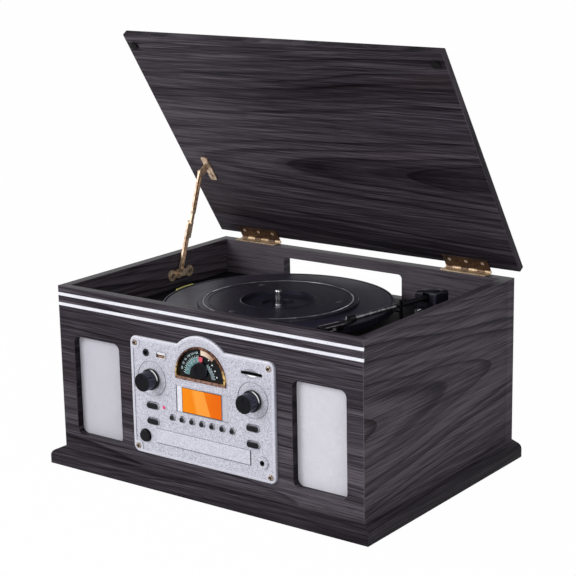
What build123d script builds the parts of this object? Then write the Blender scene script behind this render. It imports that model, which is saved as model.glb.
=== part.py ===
from build123d import *
import os
from math import atan2, cos, degrees, hypot, radians, sin

os.makedirs("parts", exist_ok=True)

# Box, all lengths in millimetres, X along the front, Y to the back, Z up
box_w = 420.0
box_d = 307.6
box_h = 213.0
front_t = 9.0
back_t = 13.0
side_t = 11.5
floor_t = 9.0
front_y = -box_d / 2
back_y = box_d / 2
inner_x = box_w / 2 - side_t
inner_front = front_y + front_t
inner_back = back_y - back_t

# Deck, sunk below the top edge
deck_drop = 42.5
deck_z = box_h - deck_drop
deck_t = 3.0
deck_low = deck_z - deck_t

# Fits
slide_gap = 0.08
turn_gap = 0.05
screw_gap = 0.3
face_gap = 0.3

# Plinth
plinth_out = 13.0
plinth_high = 19.3
plinth_shoulder = 14.6
plinth_round = 7.0

# Stripes near the top edge
stripe_rows = (box_h - 21.1, box_h - 9.5)
stripe_h = 4.2
stripe_deep = 1.5
stripe_proud = 0.3

# Fascia, placed between the plinth and the lower stripe, with what is set in it
fascia_t = 3.0
fascia_y = front_y - fascia_t
fascia_w = 200.6
fascia_h = 135.5
dome_r = 47.6
dome_drop = 34.7
panel_room = stripe_rows[0] - stripe_h / 2 - plinth_high - fascia_h - dome_r + dome_drop
fascia_low = plinth_high + 0.7783 * panel_room
fascia_top = fascia_low + fascia_h
dome_z = fascia_top - dome_drop
dial_z = fascia_top - 34.0
fascia_round = 8.0
border_w = 4.2
field_deep = 0.8
field_y = fascia_y + field_deep
edge_round = 1.9
bevel = 0.6
screw_x = fascia_w / 2 - 7.3
screw_in = 7.6
screw_rows = (fascia_low + screw_in, fascia_top - screw_in)
screw_spots = [(x, z) for x in (-screw_x, screw_x) for z in screw_rows]
fascia_screw_r = 1.5
fascia_head_r = 3.2

dial_r = 35.0
dial_base = dial_z - 4.8
bezel_w = 2.0
bezel_bar = 3.8
tuning_z = dial_z + 8.9
tuning_r = 8.9
knob_x = 70.5
knob_z = fascia_top - 46.4
knob_collar_r = 12.1
knob_r = 10.4
shaft_r = 3.0
knob_seat_r = 20.6

display_w = 72.4
display_low = fascia_top - 78.0
display_high = fascia_top - 47.2
screen_w = 55.5
screen_h = 28.5

preset_z = fascia_top - 86.0
preset_pitch = 14.0
preset_r = 2.9
pill_x = 70.0
pill_rows = (fascia_top - 77.3, fascia_top - 95.5)
pill_w = 15.8
pill_h = 6.6
power_x = -82.3
power_z = fascia_top - 114.2
power_r = 6.75
light_x = -54.3
light_z = fascia_top - 76.6
light_r = 1.6

phone_x = 82.4
phone_z = fascia_top - 113.6
phone_r = 4.5
line_x = -77.7
line_z = fascia_top - 17.1
line_r = 4.0
plug_r = 1.8
usb_x = -56.1
usb_z = fascia_top - 17.1
usb_w = 14.4
usb_h = 7.4
card_x = 69.3
card_z = fascia_top - 17.2
card_w = 28.0
card_h = 3.4

door_w = 132.0
door_low = fascia_top - 119.8
door_high = fascia_top - 103.0
tray_w = 124.0
tray_low = fascia_top - 118.4
tray_high = fascia_top - 112.0
tray_back = 2.0

# Windows beside the fascia, slot in the back
window_gap = 19.7
window_edge = 21.0
window_w = box_w / 2 - fascia_w / 2 - window_gap - window_edge
window_x = box_w / 2 - window_edge - window_w / 2
window_low = fascia_low + 1.8
window_high = fascia_top - 15.6
window_round = 8.0
cloth_lap = 6.0
cone_r = window_w / 2 + 1.5
slot_left = -108.0
slot_right = 66.0
slot_high = box_h - 13.0

# Board behind the fascia
card_y = inner_front + 4.8
card_t = 1.6
flange_t = 1.0

# Turning parts
platter_x = -9.5
platter_y = -2.5
platter_r = 133.5
rim_top = deck_z + 19.0
platform_z = deck_z + 20.9
platform_r = 92.0
hub_low = deck_z + 9.5
hub_r = 20.0
web_low = deck_z + 14.0
web_top = deck_z + 17.0
rim_low = deck_z + 10.5
label_r = 42.0
belt_ring_r = 60.0
belt_low = deck_z + 4.0
pulley_r = 6.0
motor_x = -80.2
motor_y = 68.2
motor_r = 17.0
motor_t = 30.0
spindle_r = 3.6
spindle_seat_r = 4.6
recess_z = deck_z + 15.0
spindle_top = deck_z + 32.5
journal_r = 3.0

# Tonearm
arm_x = platter_x + 161.5
arm_y = platter_y + 74.5
arm_z = deck_z + 31.3
arm_turn = 98.86
tube_r = 3.0
tube_len = 134.0
shell_turn = 104.8
shell_len = 39.0
shell_w = 15.2
shell_z = arm_z - 3.2
lever_x = arm_x + 8.0
lever_y = arm_y - 26.0
lever_z = deck_z + 18.5
speed_x = 165.0
speed_y = -115.0

# Lid, drawn closed about the hinge line and then swung open
axis_y = back_y + 2.5
axis_z = box_h + 1.5
lid_open = 56.8
lid_w = box_w + 14.8
lid_d = box_d + 8.8
lid_t = 8.5
lid_back = 6.0
lid_lift = 1.5
bumper_in = 11.4
leaf_t = 1.2
leaf_len = 60.0
left_hinge_x = -box_w / 2 + 55.8
right_hinge_x = box_w / 2 - 61.7
knuckle_r = 2.3
barrel_r = 1.9
hinge_pin_r = 1.0
lid_knuckles = ((-28.5, -20.5), (-9.2, 0.8), (12.2, 22.2))
box_knuckles = ((-30.0, -28.7), (-20.3, -9.4), (1.0, 12.0), (22.4, 30.0))
lid_leaf_deep = 17.8
box_leaf_front = back_y - 11.8
leaf_screw_y = back_y - 5.8
leaf_screws = (-22.0, 0.0, 22.0)

# Stay
stay_y = axis_y - 113.3
stay_z = axis_z - 26.5
stay_lid_y = -118.0
stay_lid_z = -8.5
stay_pin_r = 1.5
stay_w = 6.6
stay_t = 2.5
lower_x = -inner_x + 2.8
upper_x = lower_x + stay_t + face_gap
tab_x = upper_x + stay_t + face_gap
bracket_ends = (stay_y - 11.4, stay_y + 21.1)
bracket_z = stay_z - 0.7
lid_bracket_screws = ((tab_x + 7.3, -128.0), (tab_x + 3.3, -105.7))


def facing(y):
    """Plane at depth y that looks out of the front."""
    return Plane.XZ.offset(-y)


def across(x):
    """Plane at x whose normal runs along +X, local axes are Y and Z."""
    return Plane.YZ.offset(x)


lid_frame = Plane(origin=(0, axis_y, axis_z)).rotated((-lid_open, 0, 0))
arm_dir = (-sin(radians(arm_turn - 90)), -cos(radians(arm_turn - 90)), 0)
shell_dir = (-sin(radians(shell_turn - 90)), -cos(radians(shell_turn - 90)), 0)


def by_arm(along, aside):
    """Spot on the deck plan, measured from the arm pivot along and beside the tube."""
    return (
        arm_x + arm_dir[0] * along - arm_dir[1] * aside,
        arm_y + arm_dir[1] * along + arm_dir[0] * aside,
    )


shell_x, shell_y = by_arm(tube_len + 7.4, 2.0)
rest_x, rest_y = by_arm(59.9, 5.5)
arm_frame = Plane(origin=(arm_x, arm_y, arm_z), x_dir=arm_dir, z_dir=(0, 0, 1))
shell_frame = Plane(origin=(shell_x, shell_y, 0), x_dir=shell_dir, z_dir=(0, 0, 1))

swing = radians(lid_open)
lid_pivot_y = axis_y + stay_lid_y * cos(swing) + stay_lid_z * sin(swing)
lid_pivot_z = axis_z - stay_lid_y * sin(swing) + stay_lid_z * cos(swing)
stay_reach = hypot(lid_pivot_y - stay_y, lid_pivot_z - stay_z)
stay_half = stay_reach / 2
stay_lean = atan2(lid_pivot_z - stay_z, lid_pivot_y - stay_y)
stay_dir = (0, cos(stay_lean), sin(stay_lean))
preset_spots = [(preset_pitch * (i - 3), preset_z) for i in range(7)]
pill_spots = [(x, z) for x in (-pill_x, pill_x) for z in pill_rows]
knob_spots = [(-knob_x, knob_z), (knob_x, knob_z)]

# Front board with its windows, drawer slot, holes and stripe grooves
with BuildPart() as front_board:
    with BuildSketch(facing(front_y)):
        with Locations((0, box_h / 2)):
            Rectangle(box_w, box_h)
        with Locations((-window_x, (window_low + window_high) / 2), (window_x, (window_low + window_high) / 2)):
            RectangleRounded(window_w, window_high - window_low, window_round, mode=Mode.SUBTRACT)
        with Locations((0, (tray_low + tray_high) / 2)):
            Rectangle(tray_w + 2, tray_high - tray_low + 4, mode=Mode.SUBTRACT)
        with Locations(*preset_spots):
            Circle(preset_r + slide_gap, mode=Mode.SUBTRACT)
        with Locations(*pill_spots):
            SlotOverall(pill_w + 2 * slide_gap, pill_h + 2 * slide_gap, mode=Mode.SUBTRACT)
        with Locations((power_x, power_z)):
            Circle(power_r + slide_gap, mode=Mode.SUBTRACT)
        with Locations(*knob_spots, (0, tuning_z)):
            Circle(shaft_r + 1, mode=Mode.SUBTRACT)
        with Locations(*screw_spots):
            Circle(fascia_screw_r + screw_gap, mode=Mode.SUBTRACT)
        with Locations((light_x, light_z)):
            Circle(light_r + screw_gap, mode=Mode.SUBTRACT)
        with Locations((phone_x, phone_z)):
            Circle(phone_r + screw_gap, mode=Mode.SUBTRACT)
        with Locations((line_x, line_z)):
            Circle(line_r + screw_gap, mode=Mode.SUBTRACT)
        with Locations((usb_x, usb_z)):
            Rectangle(usb_w + 0.4, usb_h + 0.4, mode=Mode.SUBTRACT)
        with Locations((card_x, card_z)):
            Rectangle(card_w + 0.4, card_h + 0.4, mode=Mode.SUBTRACT)
    extrude(amount=-front_t)
    with BuildSketch(facing(front_y)):
        with Locations(*[(0, z) for z in stripe_rows]):
            Rectangle(box_w, stripe_h)
    extrude(amount=-stripe_deep, mode=Mode.SUBTRACT)

# Side boards, each with a cleat under the deck
with BuildPart() as left_board:
    with BuildSketch(facing(inner_front)):
        with Locations((-inner_x - side_t / 2, box_h / 2)):
            Rectangle(side_t, box_h)
    extrude(amount=-(inner_back - inner_front))
    with BuildSketch(facing(inner_front + 8)):
        with Locations((-inner_x + 4, deck_low - 4)):
            Rectangle(8, 8)
    extrude(amount=-(inner_back - inner_front - 8))
    with BuildSketch(across(-inner_x)):
        with Locations(*[(y, bracket_z) for y in bracket_ends]):
            Circle(1.2 + screw_gap)
    extrude(amount=-9, mode=Mode.SUBTRACT)

with BuildPart() as right_board:
    with BuildSketch(facing(inner_front)):
        with Locations((inner_x + side_t / 2, box_h / 2)):
            Rectangle(side_t, box_h)
    extrude(amount=-(inner_back - inner_front))
    with BuildSketch(facing(inner_front + 8)):
        with Locations((inner_x - 4, deck_low - 4)):
            Rectangle(8, 8)
    extrude(amount=-(inner_back - inner_front - 8))

# Back board with the ventilation slot above the deck and screw holes in its rim
hinge_spots = [(x + dx, leaf_screw_y) for x in (left_hinge_x, right_hinge_x) for dx in leaf_screws]
with BuildPart() as back_board:
    with BuildSketch(facing(inner_back)):
        with Locations((0, box_h / 2)):
            Rectangle(box_w, box_h)
        with Locations(((slot_left + slot_right) / 2, (deck_z + slot_high) / 2)):
            RectangleRounded(slot_right - slot_left, slot_high - deck_z, 5, mode=Mode.SUBTRACT)
        with Locations(((slot_left + slot_right) / 2, deck_z + 5)):
            Rectangle(slot_right - slot_left, 10, mode=Mode.SUBTRACT)
        with Locations((0, 62)):
            Rectangle(96, 26, mode=Mode.SUBTRACT)
    extrude(amount=-back_t)
    with BuildSketch(Plane.XY.offset(box_h)):
        with Locations(*hinge_spots):
            Circle(1.0 + screw_gap)
    extrude(amount=-9.5, mode=Mode.SUBTRACT)

with BuildPart() as bottom_board:
    with BuildSketch():
        with Locations((0, (inner_front + inner_back) / 2)):
            Rectangle(2 * inner_x, inner_back - inner_front)
    extrude(amount=floor_t)

# Plinth mouldings, mitred at the two front corners
with BuildPart() as moulding_front:
    with BuildSketch(Plane.YZ.offset(-box_w / 2 - plinth_out)) as moulding_cut:
        with BuildLine():
            Polyline(
                (front_y, 0),
                (front_y - plinth_out, 0),
                (front_y - plinth_out, plinth_shoulder),
                (front_y, plinth_high),
                close=True,
            )
        make_face()
        fillet(moulding_cut.vertices().group_by(Axis.X)[0].sort_by(Axis.Y)[-1:], plinth_round)
    extrude(amount=box_w + 2 * plinth_out)
    split(bisect_by=Plane(origin=(box_w / 2, front_y, 0), z_dir=(1, 1, 0)), keep=Keep.BOTTOM)
    split(bisect_by=Plane(origin=(-box_w / 2, front_y, 0), z_dir=(-1, 1, 0)), keep=Keep.BOTTOM)

with BuildPart() as moulding_left:
    with BuildSketch(Plane.XZ.offset(-back_y)) as moulding_cut_left:
        with BuildLine():
            Polyline(
                (-box_w / 2, 0),
                (-box_w / 2 - plinth_out, 0),
                (-box_w / 2 - plinth_out, plinth_shoulder),
                (-box_w / 2, plinth_high),
                close=True,
            )
        make_face()
        fillet(moulding_cut_left.vertices().group_by(Axis.X)[0].sort_by(Axis.Y)[-1:], plinth_round)
    extrude(amount=box_d + plinth_out)
    split(bisect_by=Plane(origin=(-box_w / 2, front_y, 0), z_dir=(-1, 1, 0)), keep=Keep.TOP)

with BuildPart() as moulding_right:
    add(mirror(moulding_left.part, about=Plane.YZ, mode=Mode.PRIVATE))

plinth_moulding = Compound(children=[moulding_front.part, moulding_left.part, moulding_right.part])

with BuildPart() as inlay_strips:
    with BuildSketch(facing(front_y - stripe_proud)):
        with Locations(*[(0, z) for z in stripe_rows]):
            Rectangle(box_w, stripe_h)
    extrude(amount=-(stripe_deep + stripe_proud))

# Deck plate with holes for the bush, the pulley shaft, the arm base and the switch
with BuildPart() as deck_plate:
    with BuildSketch(Plane.XY.offset(deck_low)):
        with Locations((0, (inner_front + inner_back) / 2)):
            Rectangle(2 * inner_x, inner_back - inner_front)
        with Locations((platter_x, platter_y)):
            Circle(8.3, mode=Mode.SUBTRACT)
        with Locations((motor_x, motor_y)):
            Circle(4, mode=Mode.SUBTRACT)
        with Locations((arm_x, arm_y)):
            Circle(9, mode=Mode.SUBTRACT)
        with Locations((speed_x, speed_y)):
            Circle(2 + turn_gap, mode=Mode.SUBTRACT)
    extrude(amount=deck_t)

with BuildPart() as spindle_bush:
    with BuildSketch(Plane.XY.offset(deck_z)):
        with Locations((platter_x, platter_y)):
            Circle(16)
    extrude(amount=2)
    with BuildSketch(Plane.XY.offset(deck_z)):
        with Locations((platter_x, platter_y)):
            Circle(8)
    extrude(amount=-32)
    with BuildSketch(Plane.XY.offset(deck_z + 2)):
        with Locations((platter_x, platter_y)):
            Circle(journal_r + turn_gap)
    extrude(amount=-30, mode=Mode.SUBTRACT)

with BuildPart() as spindle:
    with BuildSketch(Plane.XY.offset(deck_z - 28)):
        with Locations((platter_x, platter_y)):
            Circle(journal_r)
    extrude(amount=hub_low - 3 - deck_z + 28)
    with BuildSketch(Plane.XY.offset(hub_low - 3)):
        with Locations((platter_x, platter_y)):
            Circle(9)
    extrude(amount=3)
    with BuildSketch(Plane.XY.offset(hub_low)):
        with Locations((platter_x, platter_y)):
            Circle(spindle_seat_r)
    extrude(amount=recess_z - hub_low)
    with BuildSketch(Plane.XY.offset(recess_z)):
        with Locations((platter_x, platter_y)):
            Circle(spindle_r)
    extrude(amount=spindle_top - recess_z)
    fillet(spindle.edges().filter_by(GeomType.CIRCLE).group_by(Axis.Z)[-1], 2.4)

# Platter, turned profile in radius and height, then ribs on the wall
with BuildPart() as platter:
    with BuildSketch(Plane(origin=(platter_x, platter_y, 0), x_dir=(1, 0, 0), z_dir=(0, -1, 0))):
        with BuildLine():
            Polyline(
                (spindle_seat_r + turn_gap, hub_low),
                (hub_r, hub_low),
                (hub_r, hub_low + 3),
                (belt_ring_r - 3, web_low),
                (belt_ring_r - 3, belt_low),
                (belt_ring_r, belt_low),
                (belt_ring_r, web_low),
                (platter_r - 6.5, web_low),
                (platter_r - 4.5, rim_low),
                (platter_r, rim_low),
                (platter_r, rim_top - 0.8),
                (platter_r - 0.8, rim_top),
                (platter_r - 2.1, rim_top),
                (platter_r - 2.5, rim_top - 1.9),
                (platter_r - 3.5, rim_top - 1.9),
                (platter_r - 3.8, rim_top - 0.5),
                (platform_r + 1, rim_top - 0.5),
                (platform_r + 0.5, platform_z - 0.5),
                (platform_r, platform_z),
                (platform_r - 4.4, platform_z),
                (platform_r - 4.8, platform_z - 0.5),
                (platform_r - 5.4, platform_z - 0.5),
                (platform_r - 5.8, platform_z + 0.3),
                (platform_r - 6.4, platform_z + 0.3),
                (platform_r - 6.8, platform_z),
                (platform_r - 11.4, platform_z),
                (platform_r - 11.7, platform_z - 0.5),
                (platform_r - 12.3, platform_z - 0.5),
                (platform_r - 12.6, platform_z),
                (label_r + 2, platform_z),
                (label_r + 1, platform_z + 0.4),
                (label_r, platform_z + 0.4),
                (label_r - 0.6, web_top),
                (hub_r - 1.6, web_top),
                (hub_r - 2, recess_z),
                (spindle_seat_r + turn_gap, recess_z),
                close=True,
            )
        make_face()
    revolve(axis=Axis((platter_x, platter_y, 0), (0, 0, 1)))
    with BuildSketch(Plane.XY.offset(rim_low)):
        with Locations((platter_x, platter_y)):
            with PolarLocations(platter_r + 0.35, 150):
                Circle(1.3)
    extrude(amount=rim_top - rim_low - 1.3, mode=Mode.SUBTRACT)
    with BuildSketch(Plane.XY.offset(recess_z)):
        with Locations((platter_x, platter_y)):
            with PolarLocations(10, 4):
                Circle(1.6)
    extrude(amount=1.1)

# Motor under the deck, pulley on its shaft, belt round pulley and platter ring
with BuildPart() as drive_motor:
    with BuildSketch(Plane.XY.offset(deck_low)):
        with Locations((motor_x, motor_y)):
            Rectangle(2 * motor_r + 16, 26)
    extrude(amount=-1.5)
    with BuildSketch(Plane.XY.offset(deck_low)):
        with Locations((motor_x, motor_y)):
            Circle(motor_r)
    extrude(amount=-motor_t)
    with BuildSketch(Plane.XY.offset(deck_low)):
        with Locations((motor_x, motor_y)):
            Circle(1.5 + turn_gap)
    extrude(amount=-20, mode=Mode.SUBTRACT)

with BuildPart() as motor_pulley:
    with BuildSketch(Plane.XY.offset(deck_low - 20)):
        with Locations((motor_x, motor_y)):
            Circle(1.5)
    extrude(amount=30)
    with BuildSketch(Plane.XY.offset(belt_low)):
        with Locations((motor_x, motor_y)):
            Circle(pulley_r)
    extrude(amount=7)
    with BuildSketch(Plane.XY.offset(belt_low - 0.5)):
        with Locations((motor_x, motor_y)):
            Circle(pulley_r + 1.6)
    extrude(amount=1)
    with BuildSketch(Plane.XY.offset(belt_low + 6.5)):
        with Locations((motor_x, motor_y)):
            Circle(pulley_r + 1.6)
    extrude(amount=1)

belt_len = hypot(motor_x - platter_x, motor_y - platter_y)
belt_line = Plane(
    origin=(platter_x, platter_y, belt_low + 1.7),
    x_dir=(motor_x - platter_x, motor_y - platter_y, 0),
    z_dir=(0, 0, 1),
)


def belt_sketch(grow):
    """Tight loop round the platter ring and the pulley, grown by some amount."""
    big = belt_ring_r + grow
    small = pulley_r + grow
    lean = degrees(atan2(big - small, hypot(belt_len, 0)))
    tilt = radians(90) - atan2(big - small, (belt_len**2 - (big - small) ** 2) ** 0.5)
    up = (big * cos(tilt), big * sin(tilt))
    out = (belt_len + small * cos(tilt), small * sin(tilt))
    return up, out, big, small


with BuildPart() as drive_belt:
    for grow, how in ((1.1, Mode.ADD), (0.1, Mode.SUBTRACT)):
        up, out, big, small = belt_sketch(grow)
        with BuildSketch(belt_line):
            Circle(big)
            with Locations((belt_len, 0)):
                Circle(small)
            with BuildLine():
                Polyline(up, out, (out[0], -out[1]), (up[0], -up[1]), close=True)
            make_face()
        extrude(amount=3.6, mode=how)

# Tonearm base, housing, tube, headshell and cartridge
with BuildPart() as tonearm_base:
    with BuildSketch(Plane.XY.offset(deck_z)):
        with Locations((arm_x, arm_y)):
            Circle(21)
    extrude(amount=2)
    with BuildSketch(Plane.XY.offset(deck_z)):
        with Locations((arm_x, arm_y)):
            Circle(14)
    extrude(amount=15.5)
    with BuildSketch(Plane.XY.offset(deck_z)):
        with Locations((arm_x, arm_y)):
            Circle(8.6)
    extrude(amount=-10)
    with BuildSketch(Plane.XY.offset(deck_z + 15.5)):
        with Locations((arm_x, arm_y)):
            Circle(5 + turn_gap)
    extrude(amount=-22, mode=Mode.SUBTRACT)
    with BuildSketch(Plane.XY.offset(deck_z)):
        with Locations((lever_x + 5, lever_y)):
            Rectangle(4, 9)
    extrude(amount=lever_z + 4.5 - deck_z)
    with BuildSketch(across(lever_x + 3)):
        with Locations((lever_y, lever_z)):
            Circle(1.5)
    extrude(amount=-8)

with BuildPart() as tonearm_yoke:
    with BuildSketch(Plane.XY.offset(deck_z - 5)):
        with Locations((arm_x, arm_y)):
            Circle(5)
    extrude(amount=21)
    with BuildSketch(arm_frame.offset(-15.8)):
        with Locations((-6.5, 3)):
            RectangleRounded(40, 38, 9)
    extrude(amount=19.3)
    with BuildSketch(arm_frame.offset(3.5)):
        with Locations((-9.5, 3)):
            RectangleRounded(31, 32, 8)
    extrude(amount=2.6)
    with BuildSketch(arm_frame.offset(-6)):
        with Locations((5, 0)):
            Rectangle(34, 9.2)
    extrude(amount=9.5, mode=Mode.SUBTRACT)
    with BuildSketch(arm_frame.offset(3.4)):
        with Locations((10, 0)):
            Rectangle(20, 9.2)
    extrude(amount=3, mode=Mode.SUBTRACT)
    with BuildSketch(Plane(arm_frame.origin, x_dir=arm_frame.x_dir, z_dir=arm_frame.y_dir)):
        Circle(1.2 + turn_gap)
    extrude(amount=8.2, both=True, mode=Mode.SUBTRACT)

arm_across = Plane(arm_frame.origin, x_dir=arm_frame.y_dir, z_dir=arm_frame.x_dir)
with BuildPart() as tonearm_tube:
    with BuildSketch(arm_across.offset(-10)):
        Circle(tube_r)
    extrude(amount=tube_len + 10)
    with BuildSketch(arm_across.offset(8)):
        Circle(tube_r - 0.8)
    extrude(amount=tube_len, mode=Mode.SUBTRACT)
    with BuildSketch(Plane(arm_frame.origin, x_dir=arm_frame.x_dir, z_dir=arm_frame.y_dir)):
        Circle(1.2)
    extrude(amount=8, both=True)

with BuildPart() as headshell:
    with BuildSketch(arm_across.offset(tube_len - 4)):
        Circle(tube_r + 1.4)
    extrude(amount=8.5)
    with BuildSketch(arm_across.offset(tube_len - 4)):
        Circle(tube_r + turn_gap)
    extrude(amount=4, mode=Mode.SUBTRACT)
    with BuildSketch(shell_frame.offset(shell_z)):
        with BuildLine():
            Polyline(
                (-6, 2.8),
                (10, shell_w / 2),
                (shell_len - 4, shell_w / 2),
                (shell_len, shell_w / 2 - 2.4),
                (shell_len, -shell_w / 2 + 2.4),
                (shell_len - 4, -shell_w / 2),
                (10, -shell_w / 2),
                (-6, -2.8),
                close=True,
            )
        make_face()
    extrude(amount=2.2)
    with BuildSketch(shell_frame.offset(shell_z + 2.2)):
        with Locations((22, 5.4), (22, -5.4)):
            Rectangle(shell_len - 13, 1.4)
    extrude(amount=0.6)
    with BuildSketch(shell_frame.offset(shell_z + 0.6)):
        with BuildLine():
            Polyline(
                (24, shell_w / 2 - 0.6),
                (28, 14),
                (shell_len + 2, 16.2),
                (shell_len + 2, 14.4),
                (29.5, 12.4),
                (27.5, shell_w / 2 - 0.6),
                close=True,
            )
        make_face()
    extrude(amount=1)

with BuildPart() as stylus_cartridge:
    with BuildSketch(shell_frame.offset(shell_z - 3.7)):
        with Locations((22, 0)):
            Rectangle(21, 11.5)
    extrude(amount=3.7)
    with BuildSketch(shell_frame.offset(shell_z - 3.7)):
        with Locations((29.5, 0)):
            Circle(1.1)
    extrude(amount=-1.5, taper=30)

# Rest post beside the tube with a shelf under it
with BuildPart() as tonearm_rest:
    with BuildSketch(Plane.XY.offset(deck_z)):
        with Locations((rest_x, rest_y)):
            Circle(5.5)
    extrude(amount=1.6)
    with BuildSketch(Plane.XY.offset(deck_z)):
        with Locations((rest_x, rest_y)):
            Circle(2)
    extrude(amount=arm_z + 7.7 - deck_z)
    with BuildSketch(Plane.XY.offset(arm_z - 6.2)):
        with Locations((rest_x - 4.6, rest_y)):
            RectangleRounded(11, 5, 1.4)
    extrude(amount=1.6)

# Cueing lever on its pin and the speed switch
with BuildPart() as cue_lever:
    with BuildSketch(across(lever_x + 2.7)):
        with Locations((lever_y, lever_z)):
            Circle(3.4)
        with BuildLine():
            Polyline(
                (lever_y - 1, lever_z + 3),
                (lever_y - 20, lever_z + 8.6),
                (lever_y - 20, lever_z + 6.4),
                (lever_y - 1, lever_z - 1),
                close=True,
            )
        make_face()
        with Locations((lever_y, lever_z)):
            Circle(1.5 + turn_gap, mode=Mode.SUBTRACT)
    extrude(amount=-2.4)
    with BuildSketch(facing(lever_y - 18)):
        with Locations((lever_x + 1.5, lever_z + 7.3)):
            Circle(2.4)
    extrude(amount=7)

with BuildPart() as speed_switch:
    with BuildSketch(Plane.XY.offset(deck_z)):
        with Locations((speed_x, speed_y)):
            Circle(8)
    extrude(amount=1.5)
    with BuildSketch(Plane.XY.offset(deck_z + 1.5)):
        with Locations((speed_x, speed_y)):
            Circle(6.4)
        with Locations((speed_x, speed_y - 5.5)):
            Rectangle(2.4, 6)
    extrude(amount=6)
    with BuildSketch(Plane.XY.offset(deck_z)):
        with Locations((speed_x, speed_y)):
            Circle(2)
    extrude(amount=-6)
    with BuildSketch(Plane.XY.offset(deck_z - 4.5)):
        with Locations((speed_x, speed_y)):
            Circle(5)
    extrude(amount=-2)

# Fascia: arched plate, raised border, seats and holes
with BuildPart() as fascia_plate:
    with BuildSketch(facing(front_y)) as fascia_outline:
        with Locations((0, (fascia_low + fascia_top) / 2)):
            Rectangle(fascia_w, fascia_top - fascia_low)
        fillet(fascia_outline.vertices(), fascia_round)
        with Locations((0, dome_z)):
            Circle(dome_r)
    extrude(amount=fascia_t)
    fillet(fascia_plate.faces().sort_by(Axis.Y)[0].edges(), edge_round)
    with BuildSketch(facing(fascia_y)) as field:
        with Locations((0, (fascia_low + fascia_top) / 2)):
            Rectangle(fascia_w - 2 * border_w, fascia_top - fascia_low - 2 * border_w)
        fillet(field.vertices(), fascia_round - border_w)
        with Locations((0, dome_z)):
            Circle(dome_r - border_w)
        with Locations(*screw_spots):
            Circle(6.4, mode=Mode.SUBTRACT)
    extrude(amount=-field_deep, mode=Mode.SUBTRACT)
    with BuildSketch(facing(field_y)):
        with Locations(*knob_spots):
            Circle(knob_seat_r)
            Circle(knob_seat_r - 1.3, mode=Mode.SUBTRACT)
    extrude(amount=-0.8, taper=30, mode=Mode.SUBTRACT)
    with BuildSketch(facing(field_y)):
        with Locations(*preset_spots):
            Circle(preset_r + 1.4)
        with Locations(*pill_spots):
            SlotOverall(pill_w + 2.8, pill_h + 2.8)
        with Locations((power_x, power_z)):
            Circle(power_r + 1.4)
    extrude(amount=-bevel, taper=45, mode=Mode.SUBTRACT)
    with BuildSketch(facing(fascia_y)):
        Circle(0.001)
        with Locations((0, dial_z)):
            Circle(dial_r + 0.1)
        with Locations((0, dial_base - 30.1)):
            Rectangle(100, 60, mode=Mode.SUBTRACT)
        with Locations((0, (display_low + display_high) / 2)):
            Rectangle(display_w, display_high - display_low)
        with Locations((0, (door_low + door_high) / 2)):
            Rectangle(door_w + 0.8, door_high - door_low + 0.8)
        with Locations(*preset_spots):
            Circle(preset_r + 0.7)
        with Locations(*pill_spots):
            SlotOverall(pill_w + 1.4, pill_h + 1.4)
        with Locations((power_x, power_z)):
            Circle(power_r + 0.7)
        with Locations(*knob_spots):
            Circle(shaft_r + 1)
        with Locations(*screw_spots):
            Circle(fascia_screw_r + screw_gap)
        with Locations((light_x, light_z)):
            Circle(light_r + screw_gap)
        with Locations((phone_x, phone_z)):
            Circle(phone_r + screw_gap)
        with Locations((line_x, line_z)):
            Circle(line_r + screw_gap)
        with Locations((usb_x, usb_z)):
            Rectangle(usb_w + 0.4, usb_h + 0.4)
        with Locations((card_x, card_z)):
            Rectangle(card_w + 0.4, card_h + 0.4)
    extrude(amount=-fascia_t, mode=Mode.SUBTRACT)
    with BuildSketch(facing(fascia_y)):
        with Locations((card_x, card_z)):
            Ellipse(9.8, 5.6)
    extrude(amount=-1.6, mode=Mode.SUBTRACT)


def half_round(radius, base):
    """Half-round face of a dial with a straight lower edge."""
    with Locations((0, dial_z)):
        Circle(radius)
    with Locations((0, base - 30)):
        Rectangle(100, 60, mode=Mode.SUBTRACT)


with BuildPart() as dial_bezel:
    with BuildSketch(facing(front_y)):
        half_round(dial_r, dial_base)
    extrude(amount=fascia_t + 1.4)
    fillet(dial_bezel.faces().sort_by(Axis.Y)[0].edges(), 0.7)
    with BuildSketch(facing(front_y)):
        half_round(dial_r - bezel_w, dial_base + bezel_bar)
    extrude(amount=fascia_t + 2, mode=Mode.SUBTRACT)

with BuildPart() as dial_face:
    with BuildSketch(facing(front_y)):
        half_round(dial_r - bezel_w, dial_base + bezel_bar)
        with Locations((0, tuning_z)):
            Circle(shaft_r + 1, mode=Mode.SUBTRACT)
    extrude(amount=0.8)

with BuildPart() as dial_pointer:
    with BuildSketch(facing(front_y - 1.4)):
        with Locations((0, tuning_z)):
            Circle(6)
        with Locations((0, tuning_z + 10.2)):
            Rectangle(1.3, 10)
        with Locations((0, tuning_z)):
            Circle(shaft_r + turn_gap, mode=Mode.SUBTRACT)
    extrude(amount=0.5)

with BuildPart() as tuning_knob:
    with BuildSketch(facing(front_y - 2.3)):
        with Locations((0, tuning_z)):
            Circle(tuning_r)
    extrude(amount=2.0)
    fillet(tuning_knob.edges().filter_by(GeomType.CIRCLE).group_by(Axis.Y)[0], 0.9)
    with BuildSketch(facing(front_y - 4.3)):
        with Locations((0, tuning_z)):
            Circle(tuning_r - 2)
    extrude(amount=-0.5, mode=Mode.SUBTRACT)
    with BuildSketch(facing(front_y - 2.3)):
        with Locations((0, tuning_z)):
            Circle(shaft_r)
    extrude(amount=-(card_y + card_t + 8 - front_y + 2.3))


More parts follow.
